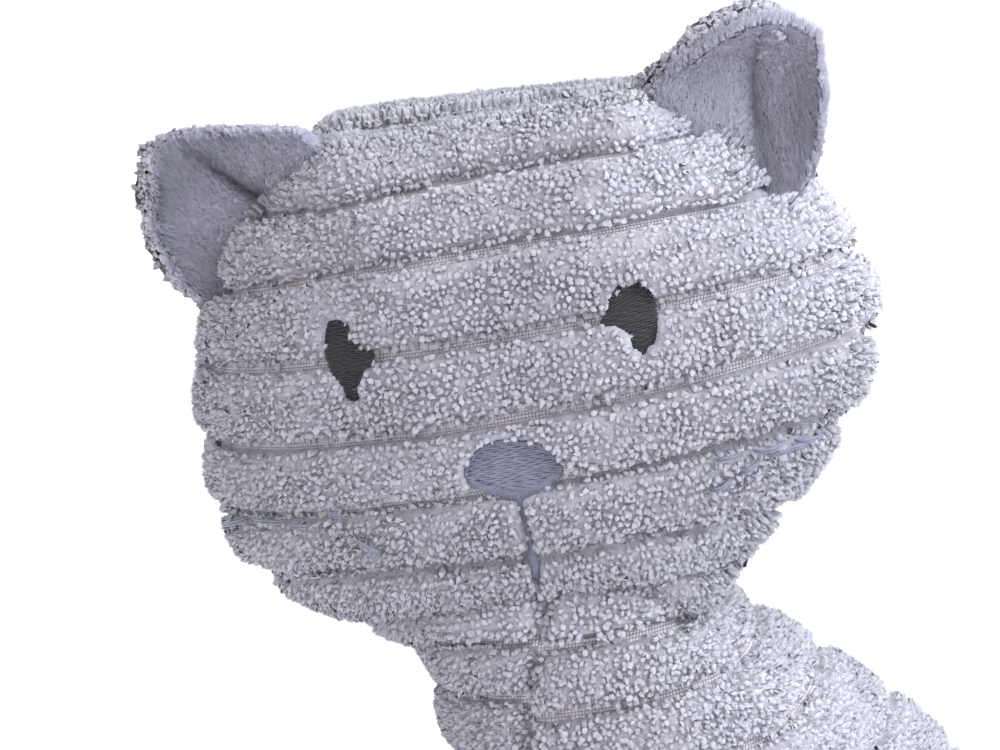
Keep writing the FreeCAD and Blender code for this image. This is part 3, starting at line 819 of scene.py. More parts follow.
for side, sx in (("left", 1.0), ("right", -1.0)):
    e = EARS[side]
    P, q, f = ear_surface(e, sx)
    n, m = P.shape[:2]
    lin = Panel(P, np.broadcast_to(HF, P.shape), np.repeat(np.linspace(0.2, 0.8, n)[:, None], m, 1), H=1.7)
    lin.h = np.full(P.shape[:2], 1.55) * (1 + 0.08 * noise(P, 6.0, 9))
    lin.d = np.full(P.shape[:2], 3.0)
    sk = lin.skin(f"{side}_ear_lining_cloth", [VELOUR_DEPTH_SHADE, VELOUR_DEPTH_SHADE], body=0.45)
    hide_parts(f"{side}_ear_lining")
    vt = lin.tufts(du=0.62, dv=0.66, seed=81)
    # the velour turns over the rim
    rp = np.concatenate([P[6:, 0], P[-1], P[::-1, -1][:-6]])
    rls = np.r_[0, np.cumsum(np.linalg.norm(np.diff(rp, axis=0), axis=1))]
    more = []
    rgv = np.random.default_rng(86)
    pc = P.mean((0, 1))
    for row in range(3):
        ss = np.arange(0.3, rls[-1] - 0.3, 0.6)
        ss = ss + rgv.uniform(-0.15, 0.15, len(ss))
        c = np.stack([np.interp(ss, rls, rp[:, i]) for i in range(3)], 1)
        ou = unit(c - pc)
        nrm = unit(ou * (0.5 + 0.25 * min(row, 2)) + HF * (0.9 - 0.42 * row))
        tg = unit(np.cross(nrm, HF))
        hh = 1.2 * rgv.uniform(0.8, 1.15, len(c))
        more.append(np.concatenate([c - ou * 0.35 + HF * (0.3 - 0.55 * row), nrm, np.cross(tg, nrm), hh[:, None], (hh * 0)[:, None], np.ones((len(c), 1))], 1))
    vt = np.vstack([vt] + more)
    nx, nz = e["nap"]
    npv = unit(HX * nx + np.array([0, 0, 1.0]) * nz)
    pl = pile(f"{side}_ear_lining_pile", vt, 18, 0.10, VELOUR, seed=82, spread=0.42, lean=0.28,
              nap=tuple(npv * 0.8), edge=0.0, H=1.7, fuzz=0.45, core=0.62, comb=1.1)
    Pb, qb, fb = ear_surface(e, sx, grow=e["back_lift"])
    wb_ = (q[..., 1] if True else 0) / 12.0 + 0.55
    bk = ZPanel(Pb, np.broadcast_to(-HF, Pb.shape), wb_, H=3.2)
    bs = bk.skin(f"{side}_ear_back_cloth", [PLUSH_DEPTH_SHADE, WEAVE])
    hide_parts(f"{side}_ear_back")
    bt = bk.tufts(du=1.1, dv=1.12, seed=83)
    # tufts turned over the rim where the back shows round the lining
    rim_pts = np.concatenate([Pb[:, 0], Pb[-1]])
    rim_u = np.r_[np.zeros(Pb.shape[0]), np.linspace(0, 1, Pb.shape[1])]
    rl = np.r_[0, np.cumsum(np.linalg.norm(np.diff(rim_pts, axis=0), axis=1))]
    extra = []
    rg = np.random.default_rng(84)
    cen = Pb.mean((0, 1))
    for row in range(6):
        ss = np.arange(2.0, rl[-1] - 1.0, 0.85)
        ss = ss + rg.uniform(-0.2, 0.2, len(ss))
        keep_ = e["peek"](np.interp(ss, rl, rim_u), 1.0) > 0.25
        ss = ss[keep_]
        c = np.stack([np.interp(ss, rl, rim_pts[:, i]) for i in range(3)], 1)
        nrm = unit(unit(c - cen) * (0.55 + 0.3 * min(row, 2)) + HF * (0.85 - 0.42 * row))
        tg = unit(np.cross(nrm, HF))
        hh = np.full(len(c), 2.0) * rg.uniform(0.6, 1.1, len(c)) * (1 + 0.3 * noise(c, 4.0, 8))
        extra.append(np.concatenate([c + unit(cen - c) * max(0.0, 1.6 - 0.8 * row) + HF * (1.4 - 0.8 * row), nrm, np.cross(tg, nrm), hh[:, None], (hh * 0)[:, None], np.ones((len(c), 1))], 1))
    bt = np.vstack([bt] + extra)
    bp = pile(f"{side}_ear_back_pile", bt, 14, 0.12, PLUSH, seed=85, H=3.2, edge=0.3, spread=0.58)
    # the turned edge that joins lining to back, in the velour's darker depth colour: painted shade
    la_ = np.concatenate([P[:, 0], P[-1, 1:], P[::-1, -1][1:]])
    lb_ = np.concatenate([Pb[:, 0], Pb[-1, 1:], Pb[::-1, -1][1:]])
    strip_v = np.concatenate([la_, lb_])
    k_ = len(la_)
    i_ = np.arange(k_ - 1)
    rim_o = make_mesh(f"{side}_ear_edge", strip_v, faces=np.stack([i_, i_ + 1, i_ + 1 + k_, i_ + k_], 1), mats=[VELOUR_DEPTH_SHADE])
    base_mid = head(sx * 30.0, 0.0, 27.5)
    out_dir = unit(head(sx * 45.0, 0.0, 46.0) - head(sx * 30.0, 0.0, 27.5))
    for o in (sk, pl, bs, bp, rim_o):
        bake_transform(o)

# ------------------------------------------------------------------ embroidery
def tubes(name, paths, radius, mat, sides=6, flat=1.0):
    """Threads: one small tube per path, lying on the face; paths are (n, 3) arrays with an outward normal each."""
    Vs, Fs, base = [], [], 0
    for pts, nrm, rad in paths:
        k = len(pts)
        tan = unit(np.gradient(pts, axis=0))
        nn = unit(nrm - tan * np.sum(nrm * tan, -1, keepdims=True))
        bb = np.cross(tan, nn)
        ph = np.arange(sides) / sides * 2 * np.pi
        r = (radius if rad is None else rad) * np.ones(k)
        r[[0, -1]] *= 0.55
        V = pts[:, None] + (bb[:, None] * np.cos(ph)[None, :, None] + nn[:, None] * (np.sin(ph) * flat)[None, :, None]) * r[:, None, None]
        Vs.append(V.reshape(-1, 3))
        f = grid_faces(k, sides, wrap=True)
        Fs.append(f + base)
        cap0 = np.stack([np.arange(sides)[::-1]], 0)
        base += k * sides
    return make_mesh(name, np.vstack(Vs), faces=np.vstack(Fs), mats=[mat])


def on_face_mm(x, z, lift):
    e = 0.4
    f = front_depth(x, z)
    fx = (front_depth(x + e, z) - front_depth(x - e, z)) / (2 * e)
    fz = (front_depth(x, z + e) - front_depth(x, z - e)) / (2 * e)
    nl = np.stack([-fx, np.ones_like(fx), -fz], -1)
    nl = unit(nl)
    nw = nl[..., :1] * HX + nl[..., 1:2] * HF + nl[..., 2:3] * np.array([0, 0, 1.0])
    return head(x, f, z) + nw * np.asarray(lift)[..., None], nw


def rows_in(poly, pitch, seed, slant=0.0, lift=1.45, radius=0.22):
    rng = np.random.default_rng(seed)
    out = []
    for z in np.arange(poly[:, 1].min() + pitch / 2, poly[:, 1].max(), pitch):
        xs = []
        n = len(poly)
        for i in range(n):
            a, b = poly[i], poly[(i + 1) % n]
            if (a[1] > z) != (b[1] > z):
                xs.append(a[0] + (z - a[1]) / (b[1] - a[1]) * (b[0] - a[0]))
        xs = sorted(xs)
        for x0, x1 in zip(xs[::2], xs[1::2]):
            if x1 - x0 < 0.25:
                continue
            x0 -= rng.uniform(0.0, 0.22)
            x1 += rng.uniform(0.0, 0.22)
            k = max(4, int((x1 - x0) / 0.35))
            x = np.linspace(x0, x1, k)
            zz = z + slant * (x - x.mean()) + rng.normal(0, 0.03) + 0.05 * np.sin(x * 3.1 + z * 7)
            lf = lift + 0.10 * np.sin(np.pi * (x - x0) / (x1 - x0)) + 0.07 * np.sin(x * 2 * np.pi / 2.6 + z * 9.0)
            p, nw = on_face_mm(x, zz, lf)
            out.append((p, nw, None))
    return out


le = tubes("left_eye_thread", rows_in(EYE_L_LINE, 0.34, 91, slant=0.10), 0.22, DARK_THREAD)
re = tubes("right_eye_thread", rows_in(EYE_R_LINE, 0.34, 92, slant=-0.06), 0.22, DARK_THREAD)
nose_paths = rows_in(NOSE_LINE, 0.36, 93, slant=0.0, lift=1.7)
edge = np.vstack([NOSE_LINE, NOSE_LINE[:1]])
es = np.r_[0, np.cumsum(np.linalg.norm(np.diff(edge, axis=0), axis=1))]
nc = NOSE_LINE.mean(0)
for s_ in np.arange(0, es[-1], 0.42):
    c = np.array([np.interp(s_, es, edge[:, 0]), np.interp(s_, es, edge[:, 1])])
    low_ = c[1] < nc[1] - 0.2
    inn = unit(nc - c) * (1.25 if low_ else 0.45)
    x = np.linspace(c[0] - inn[0] * 0.3, c[0] + inn[0], 5)
    z = np.linspace(c[1] - inn[1] * 0.3, c[1] + inn[1], 5)
    p, nw = on_face_mm(x, z, 1.95 + 0.12 * np.sin(np.linspace(0, np.pi, 5)))
    nose_paths.append((p, nw, None))
no = tubes("nose_thread", nose_paths, 0.23, GREY_THREAD)
mouth_paths = []
ms = np.r_[0, np.cumsum(np.linalg.norm(np.diff(MOUTH_LINE, axis=0), axis=1))]
for s_ in np.arange(0, ms[-1], 0.30):
    c = np.array([np.interp(s_, ms, MOUTH_LINE[:, 0]), np.interp(s_, ms, MOUTH_LINE[:, 1])])
    g = s_ / ms[-1]
    hw_ = 0.34 + 0.34 * np.clip((g - 0.45) / 0.35, 0, 1)
    x = np.linspace(c[0] - hw_, c[0] + hw_, 5)
    z = c[1] + np.linspace(0.16, -0.16, 5)
    p, nw = on_face_mm(x, z, 1.9 + 0.22 * np.sin(np.linspace(0, np.pi, 5)))
    mouth_paths.append((p, nw, None))
a_ = np.linspace(0, 2 * np.pi, 14)
lc = MOUTH_LINE[-1] + np.array([-0.2, -0.8])
p, nw = on_face_mm(lc[0] + 0.42 * np.cos(a_), lc[1] + 0.55 * np.sin(a_), 2.6 + 0.3 * np.sin(a_))
mouth_paths.append((p, nw, 0.09))
mo = tubes("mouth_thread", mouth_paths, 0.19, GREY_THREAD)


def whiskers(name, polys, seed):
    rng = np.random.default_rng(seed)
    out = []
    for poly in polys:
        L = np.r_[0, np.cumsum(np.linalg.norm(np.diff(poly, axis=0), axis=1))]
        t = np.linspace(0, L[-1], max(5, int(L[-1] / 0.4)))
        x, z = np.interp(t, L, poly[:, 0]), np.interp(t, L, poly[:, 1])
        lf = 3.9 + 1.0 * np.abs(np.sin(np.pi * t / L[-1])) ** 0.5 + rng.normal(0, 0.05, len(t))
        for dz in (-0.16, 0.16):
            p, nw = on_face_mm(x, z + dz, lf)
            out.append((p, nw, 0.21))
    return tubes(name, out, 0.21, GREY_THREAD)


lw = whiskers("left_whisker_thread", WHISK[:7], 94)
rw = whiskers("right_whisker_thread", WHISK[7:], 95)
for o, node, sl in ((le, "left_eye", "dark_thread"), (re, "right_eye", "dark_thread"), (no, "nose", "grey_thread"),
                    (mo, "mouth_stitching", "grey_thread"), (lw, "left_whiskers", "grey_thread"), (rw, "right_whiskers", "grey_thread")):
    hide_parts(node)
    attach(o, "head")

# ------------------------------------------------------------------ torso
TORSO = np.array([(0.0, -31.0, 92.0, 32.5), (8.0, -35.5, 97.0, 36.0), (25.0, -36.0, 98.0, 37.0),
                  (50.0, -34.0, 94.0, 37.0), (75.0, -30.0, 87.0, 36.0), (95.0, -26.0, 77.0, 34.0),
                  (111.0, -23.0, 64.0, 31.5), (123.0, -22.0, 52.0, 29.0), (131.0, -21.5, 42.5, 27.0),
                  (139.0, -22.3, 32.0, 25.2), (150.0, -24.0, 24.0, 24.0), (162.0, -20.0, 19.0, 20.0)])
_z = np.arange(-4.0, 163.0, 1.0)
_tab = np.stack([np.interp(_z, TORSO[:, 0], TORSO[:, c]) for c in (1, 2, 3)], 1)
_k = np.hanning(9)
_k /= _k.sum()
_sm = np.stack([np.convolve(np.pad(_tab[:, c], 4, mode="edge"), _k, "valid") for c in range(3)], 1)
_w0 = np.clip((_z[:, None] - 12.0) / 10.0, 0, 1)
_tab = _tab * (1 - _w0) + _sm * _w0


def seam_turn(z):
    """The chest seam winds round toward the cat's left as it climbs the neck."""
    return np.radians(np.interp(z, [95, 108, 125, 133, 137.7, 143, 152.7, 158], [0, 8, 17, 21, 23, 31, 44, 48]))


def torso_point(z, th, inset):
    z, th = np.broadcast_arrays(np.asarray(z, float), np.asarray(th, float))
    yf, yb, hw = (np.interp(z, _z, _tab[:, c]) for c in range(3))
    yc, hd, hw = (yf + yb) / 2, (yb - yf) / 2 - inset, hw - inset
    t = th + seam_turn(z) * (1 + np.cos(th)) / 2
    c, s = np.cos(t), np.sin(t)
    point = np.clip((z - 92) / 18, 0, 1) * np.clip((156 - z) / 10, 0, 1) * 0.65
    back = (1 - np.minimum(np.abs(s), 1) ** 1.25) ** 0.85
    cc = np.where(c < 0, -((1 - point) * -c + point * back), c)
    return np.stack([hw * s, yc - hd * cc, z], -1)


kk = np.arange(-3, 14)
ZL_F = np.r_[[180.5, 168.5, 156.5, 144.5, 134, 122], 122 - 12.0 * np.arange(1, 12)]
ZL_B = np.r_[[180.5, 168.5, 156.5, 144.5, 137, 128], 128 - 11.7 * np.arange(1, 12)]
ZR_F = np.r_[[181.0, 170, 158, 146, 137.0, 126], 126 - 12.0 * np.arange(1, 12)]
ZR_B = np.r_[[184.0, 173, 161.5, 150.2, 140.0, 128.5], 128.5 - 11.9 * np.arange(1, 12)]


def wales(z, th, zf, zb, shape):
    a = shape(th)
    out = np.empty(np.broadcast(z, th).shape)
    Z = np.broadcast_to(z, out.shape)
    A = np.broadcast_to(a, out.shape)
    for j in range(out.shape[1]):
        zk = zf * (1 - A[0, j]) + zb * A[0, j]
        out[:, j] = np.interp(Z[:, j], zk[::-1], kk[::-1].astype(float))
    return out


def torso_panel(side, z0, z1):
    z = np.r_[np.arange(z0, min(92.0, z1), 1.3), np.arange(max(z0, 92.0), z1, 0.6)][:, None]
    m = 118
    s = np.linspace(0, 1, m)
    th = side * np.pi * (s + 0.012 * np.sin(2 * np.pi * s))[None]
    P = torso_point(z, th, 3.9)
    lean_ = 1.0 * noise(P, 19.0, 51) + 0.5 * noise(P, 8.0, 52)
    if side > 0:
        w = wales(z, np.abs(th), ZL_F, ZL_B, lambda t: (1 - np.cos(t)) / 2)
    else:
        w = wales(z, np.abs(th), ZR_F, ZR_B, lambda t: np.clip(1 - np.cos(t), 0, 1))
    w = w + 0.05 * noise(P, 14.0, 53)
    yc = np.interp(z, _z, (_tab[:, 0] + _tab[:, 1]) / 2)
    ref = P - np.stack([0 * P[..., 0], yc + 0 * P[..., 0], P[..., 2]], -1)
    ref[..., 2] += 0.001
    u_r = unit(ref * np.array([1, 1, 0.0]))
    toward = np.clip(-(u_r @ R), 0, 1) ** 1.6
    slack = toward * (3.4 * np.exp(-((P[..., 2] - 149.5) / 7.5) ** 2) + 1.7 * np.exp(-((P[..., 2] - 133.0) / 7.0) ** 2))
    P = P + u_r * (0.55 * lean_ + slack)[..., None]
    pan = ZPanel(P, ref, w)
    a1 = np.linalg.norm(P - P[:, :1], axis=-1)
    a2 = np.linalg.norm(P - P[:, -1:], axis=-1)
    rim = np.minimum(a1, a2)
    pan.keep = np.clip(0.45 + rim / 2.6, 0, 1)
    pan.h = pan.h * np.clip(0.25 + rim / 3.0, 0, 1)
    pan.edge = np.clip(rim / 2.2, 0, 1)
    return pan


for side, nm in ((1, "left"), (-1, "right")):
    pan = torso_panel(side, 1.6, 147.6)
    sk = pan.skin(f"torso_{nm}_cloth", [PLUSH_DEPTH_SHADE, WEAVE])
    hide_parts(f"torso_{nm}_panel")
    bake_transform(sk)
    up = pan.tufts(du=0.90, dv=0.93, seed=33 + side)
    up = up[(up[:, 2] > 93) & (up[:, 2] < 146.6)]
    o = pile(f"torso_{nm}_pile_upper", up, FINE, 0.10, PLUSH, seed=63 + side, spread=0.50)
    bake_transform(o)
    lo = pan.tufts(du=1.5, dv=1.55, seed=43 + side)
    lo = lo[lo[:, 2] <= 93]
    o = pile(f"torso_{nm}_pile_lower", lo, 14, 0.14, PLUSH, seed=73 + side, spread=0.78)
    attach(o, "torso")

# the neck's top, running on up inside the head
for side, nm in ((1, "left"), (-1, "right")):
    pan = torso_panel(side, 145.4, 159.5)
    sk = pan.skin(f"neck_{nm}_cloth", [PLUSH_DEPTH_SHADE, WEAVE])
    if side > 0:
        pass
    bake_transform(sk)
    up = pan.tufts(du=0.90, dv=0.93, seed=37 + side)
    up = up[(up[:, 2] >= 146.6) & (up[:, 2] < 158)]
    o = pile(f"neck_{nm}_pile", up, FINE, 0.10, PLUSH, seed=67 + side, spread=0.50)
    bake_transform(o)

# ------------------------------------------------------------------ the sole of the torso, pellets, tag
n, m = 26, 120
r = np.linspace(1.0, 0.0, n)[:, None]
th = np.linspace(0, 2 * np.pi, m, endpoint=False)[None]
Pb_ = torso_point(np.full((1, m), 1.8), th, 3.6)
cen_ = np.array([0.0, 30.5, 1.8])
Pb_ = cen_ + (Pb_ - cen_) * r[..., None]
Pb_[..., 2] = 1.8 + 0 * r + 0.25 * noise(Pb_, 12.0, 3)
base = ZPanel(Pb_, np.broadcast_to([0, 0, -1.0], Pb_.shape), Pb_[..., 1] / 12.0 + 0.3, wrap=True, H=1.5)
sk = base.skin("base_cloth", [PLUSH_DEPTH_SHADE, WEAVE])
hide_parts("base_panel")
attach(sk, "torso")
bt_ = base.tufts(du=1.9, dv=1.9, seed=3)
o = pile("base_pile", bt_, 0, 0.2, PLUSH, seed=79, sides=5, spread=1.0, H=1.5, edge=0.3, lean=0.15, nap=(0, 0, 0))
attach(o, "torso")


def lump(name, pts, mat, node, body, slot, wrap=True, cap=True, fill=0.7):
    """A closed soft lump from rows of rings; the ends are drawn to a point."""
    n, m = pts.shape[:2]
    c0, c1 = pts[0].mean(0), pts[-1].mean(0)
    V = np.vstack([pts.reshape(-1, 3), c0[None], c1[None]])
    f = grid_faces(n, m, True)
    i = np.arange(m)
    t0 = np.stack([i, (i + 1) % m, np.full(m, n * m)], 1)
    t1 = np.stack([(n - 1) * m + (i + 1) % m, (n - 1) * m + i, np.full(m, n * m + 1)], 1)
    g = V[f]
    nn = np.cross(g[:, 1] - g[:, 0], g[:, 3] - g[:, 0])
    mid = g.mean(1)
    rc = pts.mean(1)
    row = (f[:, 0] // m)
    outw = np.sum(nn * (mid - rc[row]), 1)
    if np.median(outw) < 0:
        f = f[:, ::-1]
    else:
        t0, t1 = t0[:, ::-1], t1[:, ::-1]
    o = make_mesh(name, V, faces=f, tris=np.vstack([t0, t1]), mats=[mat])
    if node:
        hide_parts(node)
    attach(o, body)
    return o


def cloth_lining(name, base, hi, scale=1400.0, rough=0.7, sheen=0.3):
    N = Nodes(name)
    f = obj_noise(N, scale, 5.0, 0.7)
    big = obj_noise(N, 60.0, 3.0)
    g = N.math("ADD", N.math("MULTIPLY", f, 0.7), N.math("MULTIPLY", big, 0.3))
    col = N.ramp(g, [(0.25, base), (0.75, hi)])
    bump = N.n("ShaderNodeBump")
    bump.inputs["Strength"].default_value = 0.7
    bump.inputs["Distance"].default_value = 0.0008
    N.link(g, bump.inputs["Height"])
    N.shader(col, N.math("ADD", N.math("MULTIPLY", f, 0.2), rough), sheen=sheen, spec=0.15, normal=bump.outputs[0])
    return N.m


FIBRE = cloth_lining("polyester_filling", (0.62, 0.62, 0.63), (0.82, 0.82, 0.83), 500.0, 0.75, 0.5)
# pouch and label weaves: painted highlight on the thread crests, painted shade in the gaps
BAG = weave_material("pellet_bag_cotton", (0.45, 0.43, 0.40), (0.74, 0.72, 0.68))
SATIN = weave_material("tag_satin", (0.55, 0.55, 0.56), (0.80, 0.80, 0.81), pitch=0.02)

zs = np.r_[7.0, 9.0, np.arange(13.0, 141.0, 6.0), 142.0, 144.0]
pts = torso_point(zs[:, None], np.linspace(-np.pi, np.pi, 64, endpoint=False)[None], 8.0)
shr = np.r_[0.55, 0.85, np.ones(len(zs) - 4), 0.8, 0.5]
cc_ = pts.mean(1, keepdims=True)
pts = cc_ + (pts - cc_) * shr[:, None, None]
pts = pts + unit(pts - cc_) * (1.0 * noise(pts, 10.0, 8))[..., None]
lump("torso_fibre", pts, FIBRE, "torso_stuffing", "torso", "filling")
lo_, hi_ = (np.array(v) * 1000 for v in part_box("pellet_bag"))
la = np.linspace(-np.pi / 2 + 0.1, np.pi / 2 - 0.06, 26)[:, None]
lt = np.linspace(0, 2 * np.pi, 56, endpoint=False)[None]
mid_, half_ = (lo_ + hi_) / 2, (hi_ - lo_) / 2 * 0.93
sph = np.stack([half_[0] * np.cos(la) * np.cos(lt), half_[1] * np.cos(la) * np.sin(lt), half_[2] * np.sin(la) + 0 * lt], -1)
grain = 1 + 0.035 * noise(sph, 3.2, 5) + 0.02 * noise(sph, 9.0, 6)
o = lump("pellet_pouch", mid_ + sph * grain[..., None], BAG, "pellet_bag", "torso", "pellets", fill=0.6)

hb = [np.array(v) * 1000 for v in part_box("head_stuffing")]
hm = head(OC[0], -1.0, OC[1])
la = np.linspace(-np.pi / 2 + 0.08, np.pi / 2 - 0.08, 24)[:, None]
lt = np.linspace(0, 2 * np.pi, 60, endpoint=False)[None]
rad_ = seam_radius(np.arctan2(np.sin(lt), np.cos(lt))) - 8.0
hx_, hz_ = rad_ * np.cos(lt) * np.cos(la), rad_ * np.sin(lt) * np.cos(la)
hf_ = 13.0 * np.sin(la) + 0 * lt
hp = head(OC[0] + hx_, hf_ - 0.5, OC[1] + hz_)
hp = hp + unit(hp - hm) * (0.8 * noise(hp, 8.0, 4))[..., None]
lump("head_fibre", hp, FIBRE, "head_stuffing", "head", "filling")
nb = [np.array(v) * 1000 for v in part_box("neck_stuffing")]
nm_, nh_ = (nb[0] + nb[1]) / 2, (nb[1] - nb[0]) / 2 * 0.95
sp = np.stack([nh_[0] * np.cos(la) * np.cos(lt), nh_[1] * np.cos(la) * np.sin(lt), nh_[2] * np.sin(la) + 0 * lt], -1)
lump("neck_fibre", nm_ + sp * (1 + 0.03 * noise(sp, 5.0, 4))[..., None], FIBRE, "neck_stuffing", "neck", "filling")

tl_, th_ = (np.array(v) * 1000 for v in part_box("care_tag"))
tm = (tl_ + th_) / 2
u_ = np.linspace(0, 1, 26)
v_ = np.linspace(0, 1, 18)
V_, F_ = [], []
for sgn in (1, -1):
    y = tl_[1] + (th_[1] - tl_[1]) * u_[:, None]
    z = tl_[2] + 0.3 + (th_[2] - tl_[2] - 0.6) * v_[None]
    x = tm[0] + sgn * 0.32 + 0.8 * np.sin(u_[:, None] * 2.6) * u_[:, None] + 0.12 * np.sin(v_[None] * 9 + u_[:, None] * 5)
    g = np.stack(np.broadcast_arrays(x, y, z), -1)
    V_.append(g.reshape(-1, 3))
g0 = grid_faces(26, 18, False)
ring = np.r_[np.arange(18), 17 + 18 * np.arange(1, 26), (25 * 18) + np.arange(16, -1, -1), 18 * np.arange(24, 0, -1)]
q_ = np.stack([ring, np.roll(ring, -1), np.roll(ring, -1) + 468, ring + 468], 1)
fA = g0
nA = np.cross(V_[0][fA[:, 1]] - V_[0][fA[:, 0]], V_[0][fA[:, 3]] - V_[0][fA[:, 0]])
if nA[:, 0].mean() < 0:
    fA = fA[:, ::-1]
fB = fA[:, ::-1] + 468
vt_ = np.vstack(V_)
uvt = np.stack([np.tile(np.repeat(u_, 18), 2) * 1.3, np.tile(np.tile(v_, 26), 2) * 1.6], 1)
tag = make_mesh("care_label", vt_, faces=np.vstack([fA, fB, q_]), mats=[SATIN], uv=uvt)
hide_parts("care_tag")
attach(tag, "torso")

# ------------------------------------------------------------------ legs and tail
def ray_ellipse(c, d, e, r):
    """Distance from c along d to the far side of an ellipse at e with half-axes r; 0 where missed."""
    r = np.maximum(r, 1e-3)
    o = (c - e) / r
    k = d / r
    A = (k * k).sum(-1)
    Bq = 2 * (o * k).sum(-1)
    C = (o * o).sum(-1) - 1
    disc = Bq * Bq - 4 * A * C
    t = (-Bq + np.sqrt(np.maximum(disc, 0))) / (2 * A)
    return np.where((disc > 0) & (t > 0), t, 0.0)


def soft_max(a, b, k=1.6):
    h = np.clip(0.5 + 0.5 * (a - b) / k, 0, 1)
    return b * (1 - h) + a * h + k * h * (1 - h)


def foreleg_rings(sx, inset, n=74, m=72):
    zz = np.r_[80 + (12.5 - inset) * np.sin(np.linspace(np.pi / 2 - 0.05, 0.02, 14)), np.linspace(79.0, 26.0, n - 36), np.linspace(25.0, 0.6 + inset * 0.5, 22)]
    ph = np.linspace(0, 2 * np.pi, m, endpoint=False)
    d = np.stack([np.cos(ph), np.sin(ph)], -1)[None]
    t = np.clip((80 - zz) / 66.0, 0, 1.1)
    ax = np.stack([17.5 + t, -40 - 5.5 * t], -1)
    pr = np.sqrt(np.clip(1 - ((zz - 12) / (13.5 - inset)) ** 2, 0.0, 1))
    br = np.where(zz > 80, np.sqrt(np.clip((12.5 - inset) ** 2 - (zz - 80) ** 2, 0.02, None)), 12.5 - inset)
    low = np.clip((14 - zz) / 13.0, 0, 1)
    br = br * np.sqrt(1 - (0.72 * low) ** 2)
    g = np.clip((24 - zz) / 14, 0, 1)[:, None]
    c = ax * (1 - g) + np.array([18.8, -50.0]) * g
    a = ray_ellipse(c[:, None], d, ax[:, None], br[:, None, None] * np.ones(2))
    b = ray_ellipse(c[:, None], d, np.array([19.0, -53.0]), (np.array([15.0, 17.5]) - inset) * pr[:, None, None])
    rr = np.where(b > 0, soft_max(a, b), a)
    rr = np.maximum(rr, 0.5)
    p = c[:, None] + d * rr[..., None]
    out = np.stack([sx * p[..., 0], p[..., 1], np.broadcast_to(zz[:, None], rr.shape)], -1)
    c_ = out[-1].mean(0)
    out = np.concatenate([out, [c_ + (out[-1] - c_) * q for q in (0.75, 0.5, 0.25, 0.04)]])
    return out[:, ::-1] if sx < 0 else out


def hind_rings(sx, inset, n=96, m=80):
    yy = 31 - (57.0 - inset) * np.sin(np.linspace(-np.pi / 2 + 0.02, np.pi / 2 - 0.02, n))
    yy = np.where(yy > 31, yy, 31 + (yy - 31))
    ph = np.linspace(0, 2 * np.pi, m, endpoint=False)
    d = np.stack([np.cos(ph), np.sin(ph)], -1)[None]
    er = np.sqrt(np.clip(1 - ((yy - 55) / (33.0 - inset)) ** 2, 0.0, 1))
    t = (48 - yy) / 62.0
    bx = 49 + 1.5 * t
    over = np.where(yy > 48, yy - 48, np.where(yy < -14, -14 - yy, 0))
    br = np.sqrt(np.clip((12 - inset) ** 2 - over ** 2, 0.02, None))
    g = np.clip((yy - 20) / 26, 0, 1)
    c = np.stack([bx * (1 - g) + (46.5) * g, 11.5 * (1 - g) + 22.0 * g], -1)
    a = ray_ellipse(c[:, None], d, np.stack([bx, np.full(n, 11.5)], -1)[:, None], br[:, None, None] * np.ones(2))
    b = ray_ellipse(c[:, None], d, np.array([37.0, 27.0]), (np.array([22.0, 29.0]) - inset) * er[:, None, None])
    rr = np.where(b > 0, np.where(a > 0, soft_max(a, b, 3.0), b), a)
    rr = np.maximum(rr, 0.4)
    p = c[:, None] + d * rr[..., None]
    lim = 38.9 + inset
    p[..., 0] = lim + np.logaddexp(0, (p[..., 0] - lim) * 1.6) / 1.6
    lo = 0.7 + inset * 0.6
    p[..., 1] = lo + np.logaddexp(0, (p[..., 1] - lo) * 2.0) / 2.0
    out = np.stack([sx * p[..., 0], np.broadcast_to(yy[:, None], rr.shape), p[..., 1]], -1)
    return out


def tail_rings(inset, n=150, m=54):
    s = np.linspace(0, 1, 400)
    L1, LA, L2 = 3.0, 24 * np.pi / 2, 54.0 - 0
    tot = L1 + LA + L2
    q = s * tot
    x = np.where(q < L1, 0, np.where(q < L1 + LA, 24 - 24 * np.cos((q - L1) / 24), 24 + (q - L1 - LA)))
    y = np.where(q < L1, 101 + q, np.where(q < L1 + LA, 104 + 24 * np.sin((q - L1) / 24), 128))
    k = np.r_[np.linspace(-2.7, tot, n - 16), tot + (10 - inset) * np.sin(np.linspace(0.08, np.pi / 2 - 0.03, 16))]
    kc = np.clip(k, 0, tot)
    cx, cy = np.interp(kc, q, x), np.interp(kc, q, y)
    gx_, gy_ = np.gradient(x), np.gradient(y)
    gx_, gy_ = np.interp(kc, q, gx_), np.interp(kc, q, gy_)
    ln = np.hypot(gx_, gy_)
    tx, ty = gx_ / ln, gy_ / ln
    ov = np.maximum(k - tot, 0)
    rr = np.sqrt(np.clip((10 - inset) ** 2 - ov ** 2, 0.05, None)) * np.where(k < 2, 0.82 + 0.09 * np.clip(k, 0, 2), 1)
    cx, cy = cx + tx * ov, cy + ty * ov
    ph = np.linspace(0, 2 * np.pi, m, endpoint=False)
    nx_, ny_ = ty, -tx
    out = np.stack([cx[:, None] + rr[:, None] * np.cos(ph) * nx_[:, None], cy[:, None] + rr[:, None] * np.cos(ph) * ny_[:, None],
                    10.0 + rr[:, None] * np.sin(ph)], -1)
    return out, k


